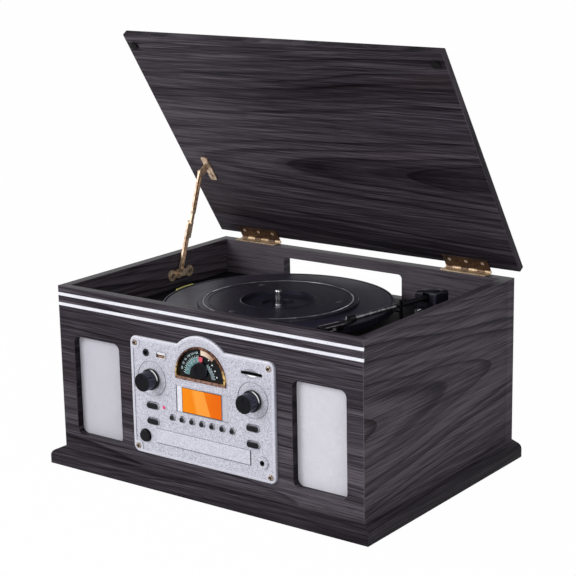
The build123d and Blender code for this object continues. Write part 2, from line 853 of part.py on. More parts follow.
def big_knob(x):
    """Stepped knob with a slot-like grip line and its control shaft."""
    with BuildPart() as knob:
        with BuildSketch(facing(fascia_y - 0.2)):
            with Locations((x, knob_z)):
                Circle(knob_collar_r)
        extrude(amount=3.8)
        fillet(knob.edges().filter_by(GeomType.CIRCLE).group_by(Axis.Y)[0], 1.0)
        with BuildSketch(facing(fascia_y - 4)):
            with Locations((x, knob_z)):
                Circle(knob_r)
        extrude(amount=12.6)
        fillet(knob.edges().filter_by(GeomType.CIRCLE).group_by(Axis.Y)[0], 1.2)
        with BuildSketch(facing(fascia_y - 16.6)):
            with Locations((x, knob_z + 5.4)):
                Rectangle(1.2, 7)
        extrude(amount=-0.8, mode=Mode.SUBTRACT)
        with BuildSketch(facing(fascia_y - 0.2)):
            with Locations((x, knob_z)):
                Circle(shaft_r)
        extrude(amount=-(card_y + card_t + 8 - fascia_y + 0.2))
    return knob.part


volume_knob = big_knob(-knob_x)
function_knob = big_knob(knob_x)


def press_button(kind, x, z, proud):
    """Button with a dished or domed front and a flange behind the board."""
    with BuildPart() as button:
        with BuildSketch(facing(inner_front)):
            with Locations((x, z)):
                if kind == "pill":
                    SlotOverall(pill_w, pill_h)
                elif kind == "power":
                    Circle(power_r)
                else:
                    Circle(preset_r)
        extrude(amount=proud - fascia_y + inner_front)
        rim = button.faces().sort_by(Axis.Y)[0].edges()
        fillet(rim, 0.8 if kind != "preset" else 1.2)
        with BuildSketch(facing(inner_front)):
            with Locations((x, z)):
                if kind == "pill":
                    SlotOverall(pill_w + 2.4, pill_h + 2.4)
                elif kind == "power":
                    Circle(power_r + 1.4)
                else:
                    Circle(preset_r + 1.4)
        extrude(amount=-flange_t)
    return button.part


presets = [press_button("preset", x, z, 2.2) for x, z in preset_spots]
pills = [press_button("pill", x, z, 1.8) for x, z in pill_spots]
power_button = press_button("power", power_x, power_z, 2.4)

with BuildPart() as power_led:
    with BuildSketch(facing(card_y)):
        with Locations((light_x, light_z)):
            Circle(light_r)
    extrude(amount=card_y - fascia_y + 0.6)
    fillet(power_led.edges().filter_by(GeomType.CIRCLE).group_by(Axis.Y)[0], 0.6)

with BuildPart() as display_window:
    with BuildSketch(facing(front_y)):
        with Locations((0, (display_low + display_high) / 2)):
            Rectangle(display_w - 0.2, display_high - display_low - 0.2)
    extrude(amount=1.2)
    with BuildSketch(facing(front_y - 1.2)):
        with Locations((0, (display_low + display_high) / 2)):
            Rectangle(screen_w, screen_h)
    extrude(amount=1.0)

# Sockets in the fascia
with BuildPart() as phone_socket:
    with BuildSketch(facing(card_y)):
        with Locations((phone_x, phone_z)):
            Circle(phone_r)
    extrude(amount=card_y - fascia_y)
    with BuildSketch(facing(field_y)):
        with Locations((phone_x, phone_z)):
            Circle(7)
    extrude(amount=1.9)
    fillet(phone_socket.edges().filter_by(GeomType.CIRCLE).group_by(Axis.Y)[0], 0.7)
    with BuildSketch(facing(fascia_y - 1.1)):
        with Locations((phone_x, phone_z)):
            Circle(plug_r)
    extrude(amount=-15, mode=Mode.SUBTRACT)
    with BuildSketch(facing(fascia_y - 1.1)):
        with Locations((phone_x, phone_z)):
            Circle(2.6)
    extrude(amount=-1, mode=Mode.SUBTRACT)

with BuildPart() as line_socket:
    with BuildSketch(facing(card_y)):
        with Locations((line_x, line_z)):
            Circle(line_r)
    extrude(amount=card_y - fascia_y + 0.3)
    with BuildSketch(facing(fascia_y - 0.3)):
        with Locations((line_x, line_z)):
            Circle(plug_r)
    extrude(amount=-15, mode=Mode.SUBTRACT)
    with BuildSketch(facing(fascia_y - 0.3)):
        with Locations((line_x, line_z)):
            Circle(2.6)
    extrude(amount=-1, mode=Mode.SUBTRACT)

with BuildPart() as usb_socket:
    with BuildSketch(facing(card_y)):
        with Locations((usb_x, usb_z)):
            Rectangle(usb_w, usb_h)
    extrude(amount=card_y - fascia_y + 0.3)
    with BuildSketch(facing(fascia_y - 0.3)):
        with Locations((usb_x, usb_z)):
            Rectangle(12.6, 5.4)
    extrude(amount=-14, mode=Mode.SUBTRACT)

with BuildPart() as card_socket:
    with BuildSketch(facing(card_y)):
        with Locations((card_x, card_z)):
            Rectangle(card_w, card_h)
    extrude(amount=card_y - fascia_y - 1.7)
    with BuildSketch(facing(fascia_y + 1.7)):
        with Locations((card_x, card_z)):
            Rectangle(card_w - 2.4, card_h - 1.2)
    extrude(amount=-13, mode=Mode.SUBTRACT)

port_sockets = Compound(children=[phone_socket.part, line_socket.part, usb_socket.part, card_socket.part])

# Disc drawer and the mechanism it slides in
with BuildPart() as cd_tray:
    with BuildSketch(facing(front_y - 0.4)):
        with Locations((0, (door_low + door_high) / 2)):
            Rectangle(door_w, door_high - door_low)
    extrude(amount=fascia_t - 0.2)
    fillet(cd_tray.faces().sort_by(Axis.Y)[0].edges(), 0.6)
    with BuildSketch(Plane.XY.offset(tray_low)):
        with Locations((0, (front_y - 0.4 + tray_back) / 2)):
            Rectangle(tray_w, tray_back - front_y + 0.4)
    extrude(amount=tray_high - tray_low)
    with BuildSketch(Plane.XY.offset(tray_high)):
        with Locations((0, -78)):
            Circle(60.4)
    extrude(amount=-2, mode=Mode.SUBTRACT)
    with BuildSketch(Plane.XY.offset(tray_high)):
        with Locations((0, -78)):
            Circle(17)
        with Locations((0, -60)):
            Rectangle(22, 40)
    extrude(amount=-10, mode=Mode.SUBTRACT)

with BuildPart() as cd_mechanism:
    with BuildSketch(Plane.XY.offset(tray_low - 3)):
        with Locations((0, -60)):
            Rectangle(142, 150)
        with Locations((0, -62)):
            Rectangle(40, 40, mode=Mode.SUBTRACT)
    extrude(amount=3)
    with BuildSketch(Plane.XY.offset(tray_low)):
        with Locations((-67, -60), (67, -60)):
            Rectangle(8, 150)
    extrude(amount=8)
    with BuildSketch(Plane.XY.offset(tray_low - 3)):
        with Locations(*[(x, y) for x in (-62, 62) for y in (-125, 5)]):
            Circle(5)
    extrude(amount=-(tray_low - 3 - floor_t))
    with BuildSketch(Plane.XY.offset(tray_low - 3)):
        with Locations((0, -30)):
            Rectangle(60, 50)
        with Locations((0, -62)):
            Rectangle(40, 40, mode=Mode.SUBTRACT)
    extrude(amount=-14)

# Board behind the fascia with switches and controls, main board, transformer
with BuildPart() as front_card:
    with BuildSketch(facing(card_y)):
        with Locations((0, fascia_top - 54)):
            Rectangle(fascia_w - 0.6, 86)
        with Locations((-82.5, fascia_top - 111), (82.5, fascia_top - 111)):
            Rectangle(34, 31)
        with Locations(*knob_spots, (0, tuning_z)):
            Circle(shaft_r + 0.6, mode=Mode.SUBTRACT)
    extrude(amount=-card_t)
    with BuildSketch(facing(card_y + card_t)):
        with Locations(*knob_spots, (0, tuning_z)):
            Rectangle(17, 17)
            Circle(shaft_r + turn_gap, mode=Mode.SUBTRACT)
    extrude(amount=-10)
    with BuildSketch(facing(card_y)):
        with Locations(*preset_spots, *pill_spots, (power_x, power_z)):
            Rectangle(6, 6)
    extrude(amount=2.2)
    with BuildSketch(facing(card_y)):
        with Locations(*[(x, fascia_top - drop) for x in (-95, 95) for drop in (17, 90)]):
            Circle(3)
    extrude(amount=card_y - inner_front)

with BuildPart() as main_card:
    with BuildSketch(Plane.XY.offset(floor_t + 8)):
        with Locations((-60, 80)):
            Rectangle(150, 90)
    extrude(amount=1.6)
    with BuildSketch(Plane.XY.offset(floor_t)):
        with Locations(*[(-60 + x, 80 + y) for x in (-68, 68) for y in (-38, 38)]):
            Circle(3)
    extrude(amount=8)
    with BuildSketch(Plane.XY.offset(floor_t + 9.6)):
        with Locations((-100, 90)):
            Rectangle(30, 40)
        with Locations((-40, 100)):
            Circle(9)
        with Locations((-10, 100)):
            Circle(9)
    extrude(amount=22)

with BuildPart() as transformer:
    with BuildSketch(Plane.XY.offset(floor_t)):
        with Locations((110, 80)):
            Rectangle(76, 40)
    extrude(amount=2)
    with BuildSketch(Plane.XY.offset(floor_t + 2)):
        with Locations((110, 80)):
            Rectangle(52, 44)
    extrude(amount=42)

control_board = Compound(children=[front_card.part, main_card.part, transformer.part])

with BuildPart() as rear_terminal_plate:
    with BuildSketch(facing(back_y + 1.6)):
        with Locations((0, 62)):
            RectangleRounded(112, 40, 3)
    extrude(amount=1.6)
    with BuildSketch(facing(back_y)):
        with Locations((-30, 62), (-14, 62)):
            Circle(6)
        with Locations((26, 62)):
            Circle(9)
    extrude(amount=9)
    with BuildSketch(facing(back_y + 1.6)):
        with Locations((-30, 62), (-14, 62)):
            Circle(4.2)
            Circle(1.6, mode=Mode.SUBTRACT)
        with Locations((26, 62)):
            Circle(6.5)
            Circle(3.5, mode=Mode.SUBTRACT)
    extrude(amount=-5)

# Loudspeakers and cloths behind the two windows
window_mid = (window_low + window_high) / 2
with BuildPart() as grille_cloths:
    with BuildSketch(facing(inner_front)):
        with Locations((-window_x, window_mid), (window_x, window_mid)):
            Rectangle(window_w + 2 * cloth_lap, window_high - window_low + 2 * cloth_lap)
    extrude(amount=-0.8)

speaker_y = inner_front + 0.8
with BuildPart() as speaker_drivers:
    with BuildSketch(facing(speaker_y)):
        with Locations((-window_x, window_mid), (window_x, window_mid)):
            Rectangle(window_w + 2 * cloth_lap, window_high - window_low + 2 * cloth_lap)
            Circle(cone_r - 7, mode=Mode.SUBTRACT)
    extrude(amount=-4)
    for side in (-window_x, window_x):
        with BuildSketch(Plane.XY.offset(window_mid)):
            with BuildLine():
                Polyline(
                    (side, speaker_y + 18),
                    (side + 11, speaker_y + 20),
                    (side + cone_r - 7.2, speaker_y + 4),
                    (side + cone_r, speaker_y + 4),
                    (side + cone_r, speaker_y + 6),
                    (side + 20, speaker_y + 24),
                    (side + 20, speaker_y + 40),
                    (side, speaker_y + 40),
                    close=True,
                )
            make_face()
        revolve(axis=Axis((side, 0, window_mid), (0, 1, 0)))

# Lid board, hinges, bumpers
with BuildPart() as lid_board:
    with BuildSketch(lid_frame.offset(lid_lift)):
        with Locations((0, -lid_back - lid_d / 2)):
            Rectangle(lid_w, lid_d)
    extrude(amount=lid_t)
    fillet(lid_board.edges(), 1.2)
    with BuildSketch(lid_frame.offset(lid_lift)):
        with Locations(*[(x + dx, -12.5) for x in (left_hinge_x, right_hinge_x) for dx in leaf_screws]):
            Circle(1.0 + screw_gap)
        with Locations(*lid_bracket_screws):
            Circle(1.0 + screw_gap)
    extrude(amount=7, mode=Mode.SUBTRACT)

with BuildPart() as hinge_box_leaves:
    for x in (left_hinge_x, right_hinge_x):
        with BuildSketch(Plane.XY.offset(box_h)):
            with Locations((x, (box_leaf_front + back_y) / 2)):
                Rectangle(leaf_len, back_y - box_leaf_front)
            for low, high in box_knuckles:
                with Locations((x + (low + high) / 2, (back_y + axis_y) / 2)):
                    Rectangle(high - low, axis_y - back_y + 0.2)
            with Locations(*[(x + dx, leaf_screw_y) for dx in leaf_screws]):
                Circle(2.2 + screw_gap, mode=Mode.SUBTRACT)
        extrude(amount=leaf_t)
        for low, high in box_knuckles:
            with BuildSketch(across(x + low)):
                with Locations((axis_y, axis_z)):
                    Circle(barrel_r)
            extrude(amount=high - low)
        with BuildSketch(across(x - leaf_len / 2)):
            with Locations((axis_y, axis_z)):
                Circle(hinge_pin_r)
        extrude(amount=leaf_len)

with BuildPart() as hinge_lid_leaves:
    for x in (left_hinge_x, right_hinge_x):
        with BuildSketch(lid_frame.offset(lid_lift - leaf_t)):
            with Locations((x, -(lid_leaf_deep + 2.2) / 2)):
                Rectangle(leaf_len, lid_leaf_deep - 2.2)
            for low, high in lid_knuckles:
                with Locations((x + (low + high) / 2, -1.2)):
                    Rectangle(high - low, 2.4)
            with Locations(*[(x + dx, -12.5) for dx in leaf_screws]):
                Circle(2.2 + screw_gap, mode=Mode.SUBTRACT)
        extrude(amount=leaf_t)
        for low, high in lid_knuckles:
            with BuildSketch(across(x + low)):
                with Locations((axis_y, axis_z)):
                    Circle(knuckle_r)
            extrude(amount=high - low)
        with BuildSketch(across(x - leaf_len / 2)):
            with Locations((axis_y, axis_z)):
                Circle(hinge_pin_r + turn_gap)
        extrude(amount=leaf_len, mode=Mode.SUBTRACT)

with BuildPart() as lid_bumpers:
    with BuildSketch(lid_frame.offset(lid_lift)):
        with Locations(*[(x, -lid_back - lid_d + 15.4) for x in (bumper_in - lid_w / 2, lid_w / 2 - bumper_in)]):
            Circle(4.8)
    extrude(amount=-2.8)
    fillet(lid_bumpers.edges().filter_by(GeomType.CIRCLE).group_by(SortBy.LENGTH)[0], 0.1)

# Screws, one group on the box and one on the lid
with BuildPart() as cabinet_screws:
    with BuildSketch(facing(fascia_y)):
        with Locations(*screw_spots):
            Circle(fascia_head_r)
    extrude(amount=1.6)
    fillet(cabinet_screws.edges().filter_by(GeomType.CIRCLE).group_by(Axis.Y)[0], 0.9)
    with BuildSketch(facing(fascia_y)):
        with Locations(*screw_spots):
            Circle(fascia_screw_r)
    extrude(amount=-11)
    with BuildSketch(facing(fascia_y - 1.6)):
        with Locations(*screw_spots):
            Rectangle(4.2, 0.7, rotation=35)
            Rectangle(4.2, 0.7, rotation=125)
    extrude(amount=-0.7, mode=Mode.SUBTRACT)
    with BuildSketch(Plane.XY.offset(box_h)):
        with Locations(*hinge_spots):
            Circle(2.2)
    extrude(amount=1.1)
    with BuildSketch(Plane.XY.offset(box_h)):
        with Locations(*hinge_spots):
            Circle(1.0)
    extrude(amount=-9)
    with BuildSketch(across(-inner_x + 1.3)):
        with Locations(*[(y, bracket_z) for y in bracket_ends]):
            Circle(2.6)
    extrude(amount=1.3)
    with BuildSketch(across(-inner_x + 1.3)):
        with Locations(*[(y, bracket_z) for y in bracket_ends]):
            Circle(1.2)
    extrude(amount=-10)

with BuildPart() as lid_screws:
    with BuildSketch(lid_frame.offset(lid_lift)):
        with Locations(*[(x + dx, -12.5) for x in (left_hinge_x, right_hinge_x) for dx in leaf_screws]):
            Circle(2.2)
    extrude(amount=-1.1)
    with BuildSketch(lid_frame.offset(lid_lift)):
        with Locations(*[(x + dx, -12.5) for x in (left_hinge_x, right_hinge_x) for dx in leaf_screws]):
            Circle(1.0)
    extrude(amount=6.5)
    with BuildSketch(lid_frame.offset(lid_lift - leaf_t)):
        with Locations(*lid_bracket_screws):
            Circle(2.4)
    extrude(amount=-1.2)
    with BuildSketch(lid_frame.offset(lid_lift - leaf_t)):
        with Locations(*lid_bracket_screws):
            Circle(1.0)
    extrude(amount=7.7)

# Stay: wall bracket, lid bracket and the two folding arms
with BuildPart() as stay_wall_bracket:
    with BuildSketch(across(-inner_x)):
        with Locations(*[(y, bracket_z) for y in bracket_ends]):
            Circle(7)
        with Locations((sum(bracket_ends) / 2, bracket_z)):
            Rectangle(bracket_ends[1] - bracket_ends[0], 9)
        with Locations(*[(y, bracket_z) for y in bracket_ends]):
            Circle(1.2 + screw_gap, mode=Mode.SUBTRACT)
    extrude(amount=1.3)
    with BuildSketch(across(-inner_x)):
        with Locations((stay_y, stay_z)):
            Circle(5.6)
    extrude(amount=lower_x + inner_x - face_gap)
    with BuildSketch(across(-inner_x)):
        with Locations((stay_y, stay_z)):
            Circle(stay_pin_r)
    extrude(amount=lower_x + stay_t + inner_x + 0.2)
    with BuildSketch(across(lower_x + stay_t + 0.2)):
        with Locations((stay_y, stay_z)):
            Circle(2.7)
    extrude(amount=1)

stay_frame = Plane(origin=(lower_x, stay_y, stay_z), x_dir=stay_dir, z_dir=(1, 0, 0))
with BuildPart() as stay_lower_arm:
    with BuildSketch(stay_frame):
        with Locations((stay_half / 2, 0)):
            SlotCenterToCenter(stay_half, stay_w)
        with Locations((stay_half - 9, -1.4)):
            RectangleRounded(19, 9.4, 1.5)
        Circle(stay_pin_r + turn_gap, mode=Mode.SUBTRACT)
    extrude(amount=stay_t)
    with BuildSketch(stay_frame.offset(stay_t)):
        with Locations((stay_half / 2 - 7, 0)):
            Rectangle(stay_half - 26, 3.6)
    extrude(amount=-1.2, mode=Mode.SUBTRACT)

upper_frame = stay_frame.offset(upper_x - lower_x)
with BuildPart() as stay_upper_arm:
    with BuildSketch(upper_frame):
        with Locations((stay_half + 39, 0)):
            SlotCenterToCenter(2 * (stay_half - 39), stay_w)
        with Locations((stay_half + 8, 0)):
            SlotCenterToCenter(16, 4.6)
        with Locations((stay_reach, 0)):
            Circle(stay_pin_r + turn_gap, mode=Mode.SUBTRACT)
    extrude(amount=stay_t)
    with BuildSketch(upper_frame.offset(stay_t)):
        with Locations((stay_half + 39, 0)):
            Rectangle(2 * (stay_half - 39) - 9, 3.6)
    extrude(amount=-1.2, mode=Mode.SUBTRACT)
    with BuildSketch(upper_frame.offset(stay_t)):
        with Locations((stay_half, 0), (stay_half + 14.5, 0)):
            Circle(2.1)
    extrude(amount=0.8)

lid_side = Plane(lid_frame.origin, x_dir=lid_frame.y_dir, z_dir=(1, 0, 0))
with BuildPart() as stay_lid_bracket:
    with BuildSketch(lid_frame.offset(lid_lift - leaf_t)):
        with Locations((tab_x + 5, -116.5)):
            RectangleRounded(10, 37, 2.5)
        with Locations(*lid_bracket_screws):
            Circle(1.0 + screw_gap, mode=Mode.SUBTRACT)
    extrude(amount=leaf_t)
    with BuildSketch(lid_side.offset(tab_x)):
        with Locations((stay_lid_y, stay_lid_z)):
            Circle(4.6)
        with Locations((stay_lid_y, (stay_lid_z + lid_lift - leaf_t) / 2)):
            Rectangle(9.2, lid_lift - leaf_t - stay_lid_z)
    extrude(amount=1.5)
    with BuildSketch(lid_side.offset(tab_x)):
        with Locations((stay_lid_y, stay_lid_z)):
            Circle(stay_pin_r)
    extrude(amount=-(stay_t + face_gap + 0.2))
    with BuildSketch(lid_side.offset(upper_x - 0.2)):
        with Locations((stay_lid_y, stay_lid_z)):
            Circle(2.7)
    extrude(amount=-0.9)

pieces = {
    "front_board": front_board.part,
    "back_board": back_board.part,
    "left_board": left_board.part,
    "right_board": right_board.part,
    "bottom_board": bottom_board.part,
    "plinth_moulding": plinth_moulding,
    "inlay_strips": inlay_strips.part,
    "deck_plate": deck_plate.part,
    "spindle_bush": spindle_bush.part,
    "spindle": spindle.part,
    "platter": platter.part,
    "drive_motor": drive_motor.part,
    "motor_pulley": motor_pulley.part,
    "drive_belt": drive_belt.part,
    "tonearm_base": tonearm_base.part,
    "tonearm_yoke": tonearm_yoke.part,
    "tonearm_tube": tonearm_tube.part,
    "headshell": headshell.part,
    "stylus_cartridge": stylus_cartridge.part,
    "tonearm_rest": tonearm_rest.part,
    "cue_lever": cue_lever.part,
    "speed_switch": speed_switch.part,
    "fascia_plate": fascia_plate.part,
    "dial_bezel": dial_bezel.part,
    "dial_face": dial_face.part,
    "dial_pointer": dial_pointer.part,
    "tuning_knob": tuning_knob.part,
    "volume_knob": volume_knob,
    "function_knob": function_knob,
    "preset_button_1": presets[0],
    "preset_button_2": presets[1],
    "preset_button_3": presets[2],
    "preset_button_4": presets[3],
    "preset_button_5": presets[4],
    "preset_button_6": presets[5],
    "preset_button_7": presets[6],
    "pill_upper_left": pills[0],
    "pill_lower_left": pills[1],
    "pill_upper_right": pills[2],
    "pill_lower_right": pills[3],
    "power_button": power_button,
    "power_led": power_led.part,
    "display_window": display_window.part,
    "port_sockets": port_sockets,
    "cd_tray": cd_tray.part,
    "cd_mechanism": cd_mechanism.part,
    "control_board": control_board,
    "rear_terminal_plate": rear_terminal_plate.part,
    "grille_cloths": grille_cloths.part,
    "speaker_drivers": speaker_drivers.part,
    "lid_board": lid_board.part,
    "hinge_box_leaves": hinge_box_leaves.part,
    "hinge_lid_leaves": hinge_lid_leaves.part,
    "lid_bumpers": lid_bumpers.part,
    "cabinet_screws": cabinet_screws.part,
    "lid_screws": lid_screws.part,
    "stay_wall_bracket": stay_wall_bracket.part,
    "stay_lid_bracket": stay_lid_bracket.part,
    "stay_lower_arm": stay_lower_arm.part,
    "stay_upper_arm": stay_upper_arm.part,
}
for name, solid in pieces.items():
    solid.label = name
    export_step(solid, f"parts/{name}.step")
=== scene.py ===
from math import cos, pi, radians, sin

import bmesh
import bpy
from mathutils import Matrix, Vector


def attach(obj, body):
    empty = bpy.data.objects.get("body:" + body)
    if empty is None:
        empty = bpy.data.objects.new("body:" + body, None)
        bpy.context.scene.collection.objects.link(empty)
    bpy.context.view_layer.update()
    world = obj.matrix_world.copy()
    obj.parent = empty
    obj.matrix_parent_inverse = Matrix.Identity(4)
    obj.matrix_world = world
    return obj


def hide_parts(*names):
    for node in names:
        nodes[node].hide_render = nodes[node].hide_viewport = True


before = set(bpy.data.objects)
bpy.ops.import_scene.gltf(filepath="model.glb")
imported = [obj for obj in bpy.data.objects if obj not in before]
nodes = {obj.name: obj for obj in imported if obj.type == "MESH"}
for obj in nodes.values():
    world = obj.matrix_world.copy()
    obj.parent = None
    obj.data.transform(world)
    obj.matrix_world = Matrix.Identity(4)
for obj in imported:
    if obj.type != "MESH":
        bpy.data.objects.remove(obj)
scene = bpy.context.scene
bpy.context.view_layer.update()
print("frame loaded:", len(nodes), "nodes")

mm = 0.001


def rgb(red, green, blue):  # screen colour, 0 to 255, to the shader's linear colour
    def lin(c):
        c /= 255
        return c / 12.92 if c <= 0.04045 else ((c + 0.055) / 1.055) ** 2.4

    return (lin(red), lin(green), lin(blue), 1.0)


# Shader values as plain expressions: mask * 0.4 + 0.2 adds its Math nodes
class Val:
    def __init__(self, finish, socket):
        self.finish = finish
        self.socket = socket

    def calc(self, operation, *parts):
        return self.finish.node("ShaderNodeMath", {"operation": operation}, *parts)

    def __add__(self, other):
        return self.calc("ADD", self, other)

    def __radd__(self, other):
        return self.calc("ADD", other, self)

    def __sub__(self, other):
        return self.calc("SUBTRACT", self, other)

    def __rsub__(self, other):
        return self.calc("SUBTRACT", other, self)

    def __mul__(self, other):
        return self.calc("MULTIPLY", self, other)

    def __rmul__(self, other):
        return self.calc("MULTIPLY", other, self)

    def __truediv__(self, other):
        return self.calc("DIVIDE", self, other)

    def __pow__(self, other):
        return self.calc("POWER", self, other)

    def size(self):
        return self.calc("ABSOLUTE", self)

    def wave(self):
        return self.calc("SINE", self)

    def root(self):
        return self.calc("SQRT", self)

    def turn(self):  # the part after the point, so it climbs from 0 to 1 over and over
        return self.calc("FRACT", self)

    def least(self, other):
        return self.calc("MINIMUM", self, other)

    def most(self, other):
        return self.calc("MAXIMUM", self, other)

    def above(self, edge, soft=0.0):  # 0 below the edge, 1 above it
        if soft:
            return self.fit(edge - soft, edge + soft)
        return self.calc("GREATER_THAN", self, edge)

    def within(self, edge, soft=0.0):  # 1 up to this far from the middle, on both sides
        return (edge - self.size()).above(0.0, soft)

    def beyond(self, edge, soft=0.0):  # 1 further than this from the middle
        return (self.size() - edge).above(0.0, soft)

    def flat(self):  # 1 on faces that look along this axis
        return self.size().above(0.7)

    def fit(self, low, high):  # 0 at low, 1 at high, smooth between them
        return self.finish.node("ShaderNodeMapRange", {"interpolation_type": "SMOOTHSTEP"}, self, low, high)


def reach(a, b):  # length across two steps at right angles
    return (a * a + b * b).root()


class Finish:
    def __init__(self, name, **fixed):
        self.mat = bpy.data.materials.new(name)
        self.mat.use_nodes = True
        self.tree = self.mat.node_tree
        self.tree.nodes.clear()
        self.out = self.tree.nodes.new("ShaderNodeOutputMaterial")
        self.shader = self.tree.nodes.new("ShaderNodeBsdfPrincipled")
        self.tree.links.new(self.shader.outputs[0], self.out.inputs[0])
        self.feed(**fixed)
        self.place = self.node("ShaderNodeTexCoord", {"out": "Object"})
        self.xyz = None

    def node(self, kind, settings, *values, **named):
        settings = dict(settings)
        out = settings.pop("out", 0)
        made = self.tree.nodes.new(kind)
        stops = settings.pop("stops", None)
        for key, value in settings.items():
            setattr(made, key, value)
        if stops:
            ramp = made.color_ramp
            while len(ramp.elements) < len(stops):
                ramp.elements.new(0.5)
            for element, (at, colour) in zip(ramp.elements, stops):
                element.position = at
                element.color = colour
        for key, value in list(enumerate(values)) + list(named.items()):
            self.put(made.inputs[key], value)
        return Val(self, made.outputs[out])

    def put(self, socket, value):
        if isinstance(value, Val):
            self.tree.links.new(value.socket, socket)
        else:
            socket.default_value = value

    def feed(self, **sockets):  # links or values on the shader itself
        for key, value in sockets.items():
            self.put(self.shader.inputs[socketNames[key]], value)

    def mix(self, amount, low, high):
        made = self.tree.nodes.new("ShaderNodeMix")
        made.data_type = "RGBA"
        for index, value in ((0, amount), (6, low), (7, high)):
            self.put(made.inputs[index], value)
        return Val(self, made.outputs[2])

    def split(self):
        if not self.xyz:
            self.xyz = [self.node("ShaderNodeSeparateXYZ", {"out": i}, self.place) for i in range(3)]
        return self.xyz

    def facing(self):  # surface direction on the object's own axes
        normal = self.node("ShaderNodeTexCoord", {"out": "Normal"})
        return [self.node("ShaderNodeSeparateXYZ", {"out": i}, normal) for i in range(3)]

    def join(self, x, y, z):
        return self.node("ShaderNodeCombineXYZ", {}, x, y, z)

    def stretch(self, x, y, z):
        return self.node("ShaderNodeVectorMath", {"operation": "MULTIPLY"}, self.place, (x, y, z))

    def noise(self, place, scale, detail=2.0, rough=0.6, warp=0.0):
        fed = {"Vector": place, "Scale": scale, "Detail": detail, "Roughness": rough, "Distortion": warp}
        return self.node("ShaderNodeTexNoise", {}, **fed)

    def cells(self, place, scale):
        return self.node("ShaderNodeTexVoronoi", {"out": "Distance"}, Vector=place, Scale=scale)

    def bump(self, height, strength, distance=0.2 * mm):
        bumped = self.node("ShaderNodeBump", {}, Strength=strength, Distance=distance, Height=height)
        self.feed(normal=bumped)


socketNames = {
    "colour": "Base Color",
    "rough": "Roughness",
    "metal": "Metallic",
    "coat": "Coat Weight",
    "coatRough": "Coat Roughness",
    "glow": "Emission Color",
    "glowPower": "Emission Strength",
    "normal": "Normal",
    "specular": "Specular IOR Level",
    "sheen": "Sheen Weight",
    "sheenRough": "Sheen Roughness",
}


def dress(finish, *names):
    for name in names:
        slots = nodes[name].data.materials
        slots.clear()
        slots.append(finish.mat)


# Charcoal wood foil: straight fibres over growth rings that close in long arches
wood = {
    "stops": (
        (0.08, rgb(13, 10, 14)),
        (0.34, rgb(33, 29, 35)),
        (0.58, rgb(53, 48, 55)),
        (0.92, rgb(90, 83, 91)),
    ),
    "brown": rgb(56, 44, 42),
    # pale edges: wear and a painted highlight where the edges catch the light
    "wearAndHighlight": rgb(104, 98, 106),  # along the edges
    "ringGap": 10.5 * mm,
    "sway": 30 * mm,
    "innerPaintedLight": 0.16,  # how much paler the inner faces are
    "backPaintedLight": 0.17,
    "rightPaintedLight": 0.08,
    "lidPaintedLight": 0.12,
    "lidPaintedShade": 0.06,
    "revealShade": 0.30,  # how much darker the edges of the cloths' windows are
    "topGloss": 0.2,
    "rough": 0.46,
}

# Where the wood changes, from the frame's middle: edges with wear and painted highlight, inner faces with
# painted light, windows with painted shade, plinth and lid
boards = {
    "front": 154.0 * mm,
    "wearAndHighlightSide": 209.2 * mm,
    "wearAndHighlightTop": 212.0 * mm,
    "wearAndHighlightFront": 153.0 * mm,
    "innerSide": 199.0 * mm,
    "innerDepth": 140.0 * mm,
    "innerBack": 141.2 * mm,
    "windowSide": 198.5 * mm,
    "plinthSide": 210.0 * mm,
    "plinthFront": 153.8 * mm,
    "plinthWearAndHighlight": (18.5 * mm, 19.6 * mm, 20.2 * mm),
    "lidSide": 216.6 * mm,
}

# Arches on a face: height of their axis, depth of the cut, slant per metre, darkness of their lines
arches = {
    "front": (18 * mm, 20 * mm, 0.045, 0.42),
    "side": (125 * mm, 25 * mm, 0.104, 0.56),
    "lid": (236 * mm, 28 * mm, -0.075, 0.34),
    "plinth": (30 * mm, 18 * mm, 0.060, 0.40),
}


def pick(chosen, low, high):  # both lists mixed item by item, the second where chosen is 1
    return [a + (b - a) * chosen for a, b in zip(low, high)]


